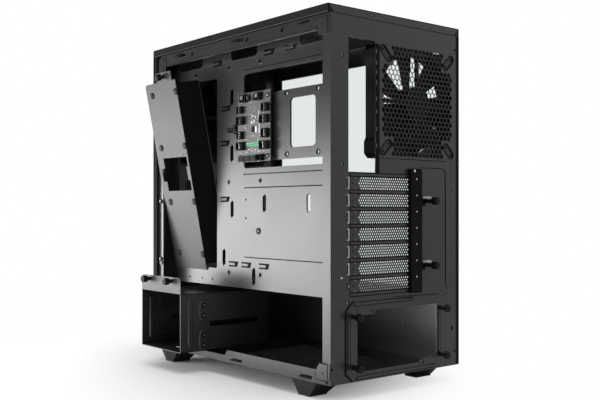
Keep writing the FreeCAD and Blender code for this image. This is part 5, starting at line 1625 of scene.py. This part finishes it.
        # Painted highlights: bright dots on the bar, where light shows through its holes.
        heads = [(-54.6, z + 5.8, -52.6, z + 7.8) for z in middles]
        bench.piece("slot_bar_highlight_dots", plates([*heads, self.bar_highlight_dot], Facing.REAR, outer, 0.5, 0.9),
                    TINNED_STEEL)
        # Painted highlight: a bright strip along the bar's edge.
        edge = plates([(-65.6, z - 7.5, -64.6, z + 9.5) for z in middles], Facing.REAR, face, 0.8, 0.1)
        bench.piece("slot_bar_edge_highlight", edge, DULL_STEEL)


@dataclass
class PowerBay:
    """The frame round the power supply's opening: its step, pressed beads, tabs and holes, in millimetres.
    The step, the beads' outlines and the holes are drawn in painted shade and painted highlight.
    """

    outline: tuple = ((50.6, 116.2), (62.8, 105), (62.8, 29.8), (51.3, 20.5))
    beads: tuple = (((48, 112), (-50, 112.6)), ((57.6, 43), (57.6, 92)), ((-100.6, 43), (-100.6, 91)),
                    ((44, 24.3), (-90, 24.3)))
    holes: tuple = ((49.5, 39.3), (-98.2, 98.2), (20.5, 103.2), (-69.6, 30.8))
    tabs: tuple = ((15, 98.8, 44.5, 107), (-95, 28, -66, 34.8))

    def build(self, bench: Bench) -> None:
        """The step as a line of painted shade, the beads over films of painted shade, the holes as painted
        highlights over painted shade, and two tabs.

        Args:
            bench: where the pieces are made.
        """
        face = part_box("psu_frame")[1][1]
        # Painted shade: a dark line along the frame's outer step.
        step = creases([self.outline], Facing.REAR, rear_face(), 1.6, 0.5)
        bench.piece("power_bay_step_shade", step, SHADE_STEEL)
        lines = [[mm(*end) for end in ends] for ends in self.beads]
        beads = [raised([obround(line, 0.8 * MM)], Facing.REAR, face, *mm(0.8, 0.9)) for line in lines]
        bench.piece("power_bay_beads", Form.joined(beads), BLACK_STEEL)
        # Painted shade round the beads.
        shade_films = [raised([obround(line, 2.3 * MM)], Facing.REAR, face, SHADE_FILM * MM) for line in lines]
        bench.piece("power_bay_bead_shade", Form.joined(shade_films), SHADE_STEEL)
        # Painted highlight crescents and painted-shade discs for the holes.
        rims, beds = cups(self.holes, Facing.REAR, face, 2.0)
        bench.piece("power_bay_hole_highlights", rims, DULL_STEEL)
        bench.piece("power_bay_hole_shade", beds, SHADE_STEEL)
        bench.piece("power_bay_tabs", plates(self.tabs, Facing.REAR, face - 1.2 * MM, 1.1, 1.5), BLACK_STEEL)


@dataclass
class DriveCage:
    """The sliding drive cage: a thin sleeve with a bead, oval screw pads and a long slot in its sides.

    The slot is (x, x, z), and the bead and the pads are (x, z, z), in millimetres."""

    gauge: float = 0.9 * MM
    top: float = 109.6 * MM
    slot: tuple[float, float, float] = (-1, 77, 66)
    bead: tuple[float, float, float] = (112.4, 41, 95.7)
    pads: tuple = ((90.8, 78.5, 92.4), (90.8, 37.4, 51.4))

    @staticmethod
    def oval(line: Numbers, radius: float) -> np.ndarray:
        """An upright obround, from (x, z, z) and a radius in millimetres."""
        x, low, high = line
        return obround([mm(x, low), mm(x, high)], radius * MM)

    def side(self, face_at: float, padded: bool) -> tuple[Form, Form, Form, Form]:
        """One side of the cage.

        Args:
            face_at: where its outer face lies.
            padded: whether its screw pads stand out of it.

        Returns:
            Its pierced sheet, its pressed forms, the discs of painted shade round its screws, and its screw
            heads.
        """
        low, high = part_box("drive_cage")
        start, end, z = self.slot
        slot = obround([mm(start, z), mm(end, z)], 3.7 * MM)[::-1]
        wall = sheet([rounded(low[0], low[2], high[0], self.top, 0.5 * MM, 2), slot], Facing.REAR, face_at,
                     self.gauge)
        pressed = [raised([self.oval(self.bead, 2.8)], Facing.REAR, face_at, *mm(0.9, 1.1))]
        if padded:
            pressed += [raised([self.oval(pad, 6.3)], Facing.REAR, face_at, *mm(0.9, 1.2))
                        for pad in self.pads]
        places = [(x, z) for x, *levels in self.pads for z in levels]
        # Painted shade: dark discs round the screws.
        beds = studs([(*place, 3.6) for place in places], Facing.REAR, face_at + 0.8 * MM, 0.4)
        heads = studs([(*place, 1.3) for place in places], Facing.REAR, face_at + 1.1 * MM, 0.6, 14)
        return wall, Form.joined(pressed), beds, heads

    def build(self, bench: Bench) -> None:
        """Both sides, floor, roof, lip and the flange that the hand screws go through.

        Args:
            bench: where the pieces are made.
        """
        low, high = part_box("drive_cage")
        slide = "drive_cage_slide"
        near = self.side(high[1], True)
        far = self.side(low[1] + 1.1 * MM, False)
        plan = rounded(low[0], low[1], high[0], high[1], 0.5 * MM, 2)
        floor = sheet([plan], Facing.UP, low[2] + self.gauge, self.gauge)
        roof = sheet([plan], Facing.UP, self.top, self.gauge)
        edge = rounded(low[1] + 84 * MM, low[2] + 6 * MM, high[1] - 3 * MM, low[2] + 7.2 * MM, 0.3 * MM, 2)
        lip = sheet([edge], Facing.RIGHT, high[0] - 6 * MM, self.gauge)
        bench.piece("cage_sleeve", Form.joined([near[0], far[0], floor, roof, lip]), BLACK_STEEL, slide,
                    instead_of=("drive_cage",))
        cut, foot = 4 * MM, self.top - self.gauge
        outline = np.array([(low[1], foot), (high[1], foot), (high[1], high[2] - cut),
                            (high[1] - cut * 0.4, high[2] - cut * 0.3), (high[1] - cut * 1.3, high[2]),
                            (low[1] + cut * 1.3, high[2]), (low[1] + cut * 0.4, high[2] - cut * 0.3),
                            (low[1], high[2] - cut)])
        bench.piece("cage_flange", sheet([outline], Facing.RIGHT, high[0], self.gauge), COVER_STEEL, slide)
        bench.piece("cage_pressed_forms", Form.joined([near[1], far[1]]), BLACK_STEEL, slide,
                    instead_of=("drive_grommets",))
        bench.piece("cage_screw_shade", Form.joined([near[2], far[2]]), SHADE_STEEL, slide)
        bench.piece("cage_screw_heads", Form.joined([near[3], far[3]]), CUT_STEEL, slide)


@dataclass
class TopCap:
    """The tray-shaped cap: a vented top, upright sides, a mitred rear skirt and the seams between them, with
    the seams in painted shade.
    """

    lean: float = 0.2 * MM
    gauge: float = 1.1 * MM
    mitre: float = 9.4 * MM
    wide_sockets: tuple[float, ...] = (52, 32)
    round_sockets: tuple[float, ...] = (38, 50)
    screws: tuple = ((19, 458.4), (-85, 458.4))

    def openings(self) -> list[np.ndarray]:
        """The vent, the two key holes and the sockets beside the larger key.

        Returns:
            Their outlines, clockwise.
        """
        vent_low, vent_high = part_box("top_filter")
        made = [rounded(vent_low[0], vent_low[1], vent_high[0], vent_high[1], 3 * MM)[::-1]]
        low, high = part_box("power_button")
        x, y = (low[0] + high[0]) / 2, (low[1] + high[1]) / 2
        made.append(ring(x, y, (high[0] - low[0]) / 2 + 0.3 * MM, 28))
        low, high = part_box("light_button")
        made.append(ring((low[0] + high[0]) / 2, y, (high[0] - low[0]) / 2 + 0.3 * MM, 20))
        start, end = y - 3.2 * MM, y + 3.2 * MM
        made += [rounded(x - (off + 7) * MM, start, x - (off - 7) * MM, end, 0.8 * MM, 3)[::-1]
                 for off in self.wide_sockets]
        return made + [ring(x + off * MM, y, 3 * MM, 20) for off in self.round_sockets]

    def side_skirts(self, low: Numbers, high: Numbers) -> list[Form]:
        """Each side's skirt and the triangle that meets the rear skirt at the mitre.

        Args:
            low: the cap's lowest corner.
            high: the cap's highest corner.

        Returns:
            Two forms for each side.
        """
        made = []
        for foot, inward in ((high[0], -1), (low[0], 1)):
            head = foot + inward * self.lean
            ends = sorted([foot, foot + inward * self.gauge])
            tops = sorted([head, head + inward * self.gauge])
            made.append(wedge(ends, tops, (low[1], high[1]), (low[2], high[2])))
            turn = foot + inward * (self.lean + self.mitre - 0.7 * MM)
            corner = np.array([(foot, low[2]), (head, high[2] - 0.1 * MM), (turn, low[2])])
            made.append(sheet([corner if inward < 0 else corner[::-1]], Facing.REAR, high[1], self.gauge))
        return made

    def build(self, bench: Bench) -> None:
        """The top with its openings, the front and rear skirts, the side skirts in the shaded copy of the
        coat, the seams and screw cups in painted shade and highlight, and the hem as a painted highlight.

        Args:
            bench: where the pieces are made.
        """
        low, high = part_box("top_cap")
        left, right, wide = low[0] + self.lean, high[0] - self.lean, self.mitre
        top = sheet([rounded(left, low[1] + 0.5 * MM, right, high[1], 0.5 * MM, 2), *self.openings()],
                    Facing.UP, high[2], self.gauge)
        skirt = np.array([(right - wide, low[2]), (right - 0.3 * MM, high[2] - 0.1 * MM),
                          (left + 0.3 * MM, high[2] - 0.1 * MM), (left + wide, low[2])])
        rear = sheet([skirt], Facing.REAR, high[1], self.gauge)
        front = sheet([skirt], Facing.REAR, low[1] + self.gauge, self.gauge)
        bench.piece("cap_top", Form.joined([top, rear, front]), CAP_STEEL,
                    instead_of=("top_cap",))
        # The side skirts wear the darker, nearly gloss-free copy of the coat: painted shade.
        sides = Form.joined(self.side_skirts(low, high))
        bench.piece("cap_side_skirts", sides, SHADED_SKIRT_STEEL)
        foot = low[2] + 0.2 * MM
        paths = [[(left + wide + 1 * MM, foot), (right - wide - 1 * MM, foot)]]
        paths += [[(end + turn * wide, low[2]), (end + turn * 0.4 * MM, high[2] - 0.4 * MM)]
                  for end, turn in ((left, 1), (right, -1))]
        # Painted shade for the seams; painted highlight and shade for the screw cups.
        seams = [crease(path, Facing.REAR, high[1], *mm(0.8, 0.3)) for path in paths]
        rims, beds = cups(self.screws, Facing.REAR, high[1], 2.3)
        bench.piece("cap_seam_shade", Form.joined([*seams, beds]), SHADE_STEEL)
        bench.piece("cap_screw_highlight", rims, CUT_STEEL)
        # Painted highlight: a bright bare-steel line along the hem.
        hem = rounded(low[1] + 1 * MM, low[2] + 0.1 * MM, high[1] - 1 * MM, low[2] + 0.9 * MM, 0.2 * MM, 2)
        bench.piece("cap_hem_highlight", sheet([hem], Facing.RIGHT, high[0], 0.5 * MM), DULL_STEEL)


@dataclass
class Rails:
    """The open side's upper and lower rails: tie slots, dimpled screws, corner tabs and the turned edge.

    Places are (y, z) in millimetres, and a tab is its outline and its hole."""

    upper_screws: tuple = ((-108.6, 444.4), (22.4, 445), (96.5, 445.8))
    upper_slots: tuple = ((-145, 448.2), (-2.5, 448), (138, 448.4))
    lower_slots: tuple = ((-3, 24.8), (141, 24.5))
    turned_edge: tuple = ((-183, 438), (165, 438))
    tabs: tuple = (
        (((165.8, 433), (169, 428.4), (182.8, 428.4), (182.8, 448.8), (166, 448.8), (163, 446.5), (163, 442),
          (165.8, 441)), (174.9, 440.2)),
        (((-197, 430), (-187.5, 430), (-185.2, 434), (-185.2, 442), (-187, 448), (-197, 448)),
         (-191.4, 439.5)),
        (((162.2, 26), (182.6, 25.2), (182.6, 44.6), (168.8, 44.2), (162.2, 34.6)), (175.8, 33.6)))
    tab_shades: tuple = ((163.4, 428, 183.8, 449.6), (-197.6, 429.4, -184.4, 448.8))
    tab_gaps: tuple = (((168.7, 45), (181.5, 44.4)),
                       ((162.1, 34.5), (162.1, 26.4), (163, 25.6), (180, 24.4), (181.4, 21.4)))

    def build(self, bench: Bench) -> None:
        """Both rails, with their screw cups, tie slots and the gaps by the tabs drawn in painted highlight
        and painted shade.

        Args:
            bench: where the pieces are made.
        """
        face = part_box("top_frame")[1][0]
        # Painted highlight crescents and painted-shade discs for the screw cups.
        rims, beds = cups(self.upper_screws, Facing.RIGHT, face, 2.6, 60.0)
        bench.piece("rail_screw_highlights", rims, DULL_STEEL)
        bench.piece("rail_screw_shade", beds, SHADE_STEEL)
        # Painted shade: the tie slots as dark films.
        slots = [tie_slots(self.upper_slots, 20, Facing.RIGHT, face),
                 tie_slots(self.lower_slots, 22, Facing.RIGHT, face)]
        bench.piece("rail_tie_slot_shade", Form.joined(slots), SHADE_STEEL)
        edge = creases([self.turned_edge], Facing.RIGHT, face, 1.1, 0.5)
        bench.piece("rail_turned_edge", edge, BLACK_STEEL)
        tabs = [raised([mm_loop(outline), ring(*mm(*hole, 1.3), 12)], Facing.RIGHT, face, *mm(0.8, 0.5))
                for outline, hole in self.tabs]
        bench.piece("rail_corner_tabs", Form.joined(tabs), BLACK_STEEL)
        # Painted shade round and beside the corner tabs.
        gaps = [plates(self.tab_shades, Facing.RIGHT, face, 0.2, 1.5),
                creases(self.tab_gaps, Facing.RIGHT, face, 1.2, 0.9)]
        bench.piece("rail_tab_shade", Form.joined(gaps), SHADE_STEEL)


@dataclass
class Honeycombs:
    """The honeycomb sheets in the floor under the power supply and in the roof under the top filter."""

    across: float = 6.0 * MM
    web: float = 1.0 * MM
    margin: float = 4.0 * MM
    roof_gauge: float = 1.1 * MM

    def panel(self, low: Numbers, high: Numbers) -> Form:
        """A sheet with hexagonal openings in offset rows, up to its plain margin.

        Args:
            low: its lowest corner.
            high: its highest corner.

        Returns:
            The pierced sheet.
        """
        pitch = self.across + self.web
        row_step = pitch * math.sqrt(3) / 2
        radius = self.across / math.sqrt(3)
        loops = [rounded(low[0], low[1], high[0], high[1], 3 * MM)]
        rows = int((high[0] - low[0] - 2 * self.margin) / row_step)
        columns = int((high[1] - low[1] - 2 * self.margin) / pitch) - 1
        for row in range(rows):
            x = low[0] + self.margin + (row + 0.5) * row_step
            start = low[1] + self.margin + pitch * (0.5 + 0.5 * (row % 2))
            loops += [ring(x, start + column * pitch, radius, 6) for column in range(columns)]
        return sheet(loops, Facing.UP, high[2], high[2] - low[2])

    def build(self, bench: Bench) -> None:
        """The floor's sheet in place of its node, in paler bare steel as painted light, and the roof's below
        the top filter.

        Args:
            bench: where the pieces are made.
        """
        # The floor sheet wears paler bare steel, not the black coat: painted light for the bright spots seen
        # through its openings.
        bench.piece("floor_honeycomb", self.panel(*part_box("floor_grille")), DULL_STEEL,
                    instead_of=("floor_grille",))
        low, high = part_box("top_filter")
        under = low[2] - 0.1 * MM
        roof = self.panel((low[0], low[1], under - self.roof_gauge), (high[0], high[1], under))
        bench.piece("roof_honeycomb", roof, SHADED_SKIRT_STEEL)


@dataclass
class FrontEdges:
    """What the rear and the open side show of the glass's printed edge and of the fascia with its clips."""

    glass_reach: float = 2.6 * MM
    clip_levels: tuple[float, ...] = (150.7, 236.6, 322)

    def build(self, bench: Bench) -> None:
        """The strip down the glass's rear edge, its black print deepened into painted shade; the fascia's
        side under a film of painted shade; the clips' cups as painted highlight and shade.

        Args:
            bench: where the pieces are made.
        """
        low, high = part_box("side_glass")
        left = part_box("front_fascia")[0][0]
        # The glass's black edge print, drawn in the near-black painted-shade coat: print and painted shade
        # together.
        strip = raised([rounded(left, low[2], high[0] + self.glass_reach, high[2], 0.3 * MM, 2)], Facing.REAR,
                       rear_face() - 0.2 * MM, 0.3 * MM)
        bench.piece("glass_rear_edge", strip, SHADE_STEEL)
        low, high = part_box("front_fascia")
        # Painted shade: a film over the fascia's side, which faces the lamp.
        side = raised([rounded(low[1], low[2], high[1], high[2], 0.3 * MM, 2)], Facing.RIGHT, high[0],
                      0.1 * MM)
        bench.piece("fascia_side_shade", side, SHADE_STEEL)
        low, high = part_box("fascia_clips")
        middle = (low[1] + high[1]) / 2 / MM
        # Painted highlight crescents and painted-shade discs for the clips' cups.
        rims, beds = cups([(middle, z) for z in self.clip_levels], Facing.RIGHT, high[0], 3.2, 90.0)
        bench.piece("fascia_clip_highlights", rims, CUT_STEEL)
        bench.piece("fascia_clip_shade", beds, SHADE_STEEL)


# ---------------------------------------------------------------- studio

@dataclass
class Studio:
    """Floor, world, lamps and camera. A lamp is (name, where it hangs, what it faces, sides, watts)."""

    focal: float = 51.87
    camera_at: tuple[float, float, float] = (0.75005, 0.9334, 0.2234)
    looking: tuple[float, float, float] = (-0.6385, -0.7696, 0.0)
    shift: tuple[float, float] = (-0.0008, 0.0172)
    floor_reach: float = 12.0
    ambient: float = 0.55
    fade_middle: tuple[float, float] = (0.1, -0.1)
    fade_span: tuple[float, float] = (0.17, 0.42)
    dark_towards: tuple[float, float] = (0.64, -0.77)
    dark_span: tuple[float, float] = (0.2, 0.75)
    dark_rise: tuple[float, float] = (0.0, 0.16)
    dark_level: float = 0.08
    lamps: tuple = (
        ("softbox_right", (0.87, -0.70, 0.175), (0.09, 0.08, 0.175), (1.1, 0.37), 13.4),
        ("floor_card", (0.52, -0.5, 0.004), (0.52, -0.5, 1.0), (0.62, 1.15), 7.0),
        ("softbox_top", (0.2, 0.3, 2.2), (0.0, 0.0, 0.2), (1.6, 1.6), 25.0))

    def camera(self) -> None:
        """The camera, level, a little below the middle of the tower."""
        data = bpy.data.cameras.new("camera")
        data.lens = self.focal
        data.sensor_width = 36.0
        data.shift_x, data.shift_y = self.shift
        data.clip_start = 0.05
        made = bpy.data.objects.new("camera", data)
        made.location = self.camera_at
        made.rotation_mode = "QUATERNION"
        made.rotation_quaternion = Vector(self.looking).to_track_quat("-Z", "Y")
        bpy.context.scene.collection.objects.link(made)
        bpy.context.scene.camera = made

    def floor(self) -> None:
        """A pale floor that fades to plain white far from the tower."""
        reach = self.floor_reach
        data = bpy.data.meshes.new("floor")
        data.from_pydata([(-reach, -reach, 0), (reach, -reach, 0), (reach, reach, 0), (-reach, reach, 0)],
                         [], [(0, 1, 2, 3)])
        graph = Graph("floor")
        x, y, _ = graph.axes()
        x, y = x - self.fade_middle[0], y - self.fade_middle[1]
        distance = (x * x + y * y) ** 0.5
        far = graph.wire("ShaderNodeMapRange", {"interpolation_type": "SMOOTHSTEP"},
                         {"Value": distance, "From Min": self.fade_span[0], "From Max": self.fade_span[1]})
        grain = graph.noise(40.0, 2.0)
        matt = graph.wire("ShaderNodeBsdfPrincipled", None, {
            "Base Color": (0.9, 0.9, 0.9, 1.0), "Roughness": grain * 0.05 + 0.6, "Specular IOR Level": 0.2})
        white = graph.wire("ShaderNodeEmission", None, {"Color": (1.0, 1.0, 1.0, 1.0), "Strength": 1.0})
        seen = graph.wire("ShaderNodeLightPath", output="Is Camera Ray")
        mixed = graph.wire("ShaderNodeMixShader", None, {0: far * seen, 1: matt, 2: white})
        graph.tree.links.new(mixed.socket, graph.output.inputs[0])
        data.materials.append(graph.material)
        made = bpy.data.objects.new("floor", data)
        bpy.context.scene.collection.objects.link(made)

    def world(self) -> None:
        """White where it is seen directly or through glass; in gloss white too, but dim high on the right.

        The dim part is where a direction d has d . dark_towards near 1 and rises above the horizon, as in a
        studio with a low lamp before a dark wall."""
        world = bpy.data.worlds.new("world")
        world.use_nodes = True
        tree = world.node_tree
        tree.nodes.clear()

        def node(kind: str, operation: str = "", **sockets: Any) -> bpy.types.Node:
            """Add one node.

            Args:
                kind: the node's type.
                operation: its operation, where it has one.
                sockets: its linked or constant inputs, as _number or by name with underscores for spaces.

            Returns:
                The new node.
            """
            made = tree.nodes.new(kind)
            if operation:
                made.operation = operation
            for name, value in sockets.items():
                socket = made.inputs[int(name[1:]) if name[1:].isdigit() else name.replace("_", " ")]
                if isinstance(value, bpy.types.NodeSocket):
                    tree.links.new(value, socket)
                else:
                    socket.default_value = value
            return made

        path = node("ShaderNodeLightPath").outputs
        ray = node("ShaderNodeTexCoord").outputs["Generated"]
        lift = node("ShaderNodeSeparateXYZ", _0=ray).outputs["Z"]
        ahead = node("ShaderNodeVectorMath", "DOT_PRODUCT", _0=ray,
                     _1=(*self.dark_towards, 0.0)).outputs["Value"]
        side = node("ShaderNodeMapRange", Value=ahead, From_Min=self.dark_span[0], From_Max=self.dark_span[1])
        rise = node("ShaderNodeMapRange", Value=lift, From_Min=self.dark_rise[0], From_Max=self.dark_rise[1])
        dark = node("ShaderNodeMath", "MULTIPLY", _0=side.outputs[0], _1=rise.outputs[0]).outputs[0]
        gloss = node("ShaderNodeMapRange", Value=dark, To_Min=1.0, To_Max=self.dark_level).outputs[0]
        plain = node("ShaderNodeMath", "MAXIMUM", _0=path["Is Camera Ray"], _1=path["Is Transmission Ray"])
        seen = node("ShaderNodeMapRange", Value=plain.outputs[0], To_Min=self.ambient, To_Max=1.0).outputs[0]
        shiny = node("ShaderNodeMix", _0=path["Is Glossy Ray"], _2=seen, _3=gloss).outputs[0]
        sky = node("ShaderNodeBackground", Color=(1.0, 1.0, 1.0, 1.0), Strength=shiny)
        node("ShaderNodeOutputWorld", _0=sky.outputs[0])
        bpy.context.scene.world = world

    @staticmethod
    def lamp(name: str, at: Numbers, target: Numbers, size: tuple[float, float],
             power: float) -> None:
        """One soft rectangular lamp that points at a target.

        Args:
            name: the lamp's name.
            at: where it hangs.
            target: the point it faces.
            size: its width and height.
            power: its power in watts.
        """
        data = bpy.data.lights.new(name, "AREA")
        data.shape = "RECTANGLE"
        data.size, data.size_y = size
        data.energy = power
        made = bpy.data.objects.new(name, data)
        made.location = at
        aim = Vector(target) - Vector(at)
        made.rotation_mode = "QUATERNION"
        made.rotation_quaternion = aim.to_track_quat("-Z", "Y")
        made.visible_camera = False
        bpy.context.scene.collection.objects.link(made)

    def build(self) -> None:
        """Set the whole studio."""
        self.camera()
        self.floor()
        self.world()
        for lamp in self.lamps:
            self.lamp(*lamp)
        bpy.context.scene.view_settings.view_transform = "Standard"


def main() -> None:
    """Build every sub-assembly in order."""
    logging.basicConfig(level=logging.INFO, format="%(name)s: %(message)s")
    Studio().build()
    paint = Paint()
    paint.dress_nodes()
    bench = Bench(paint)
    for assembly in (FanGrille(), SlotCovers(), HandScrews(), Tray(), HubPlate(), HubElectronics(),
                     CableCover(), RearTrim(), PowerBay(), DriveCage(), TopCap(), Rails(), Honeycombs(),
                     FrontEdges()):
        assembly.build(bench)


if __name__ == "__main__":
    main()
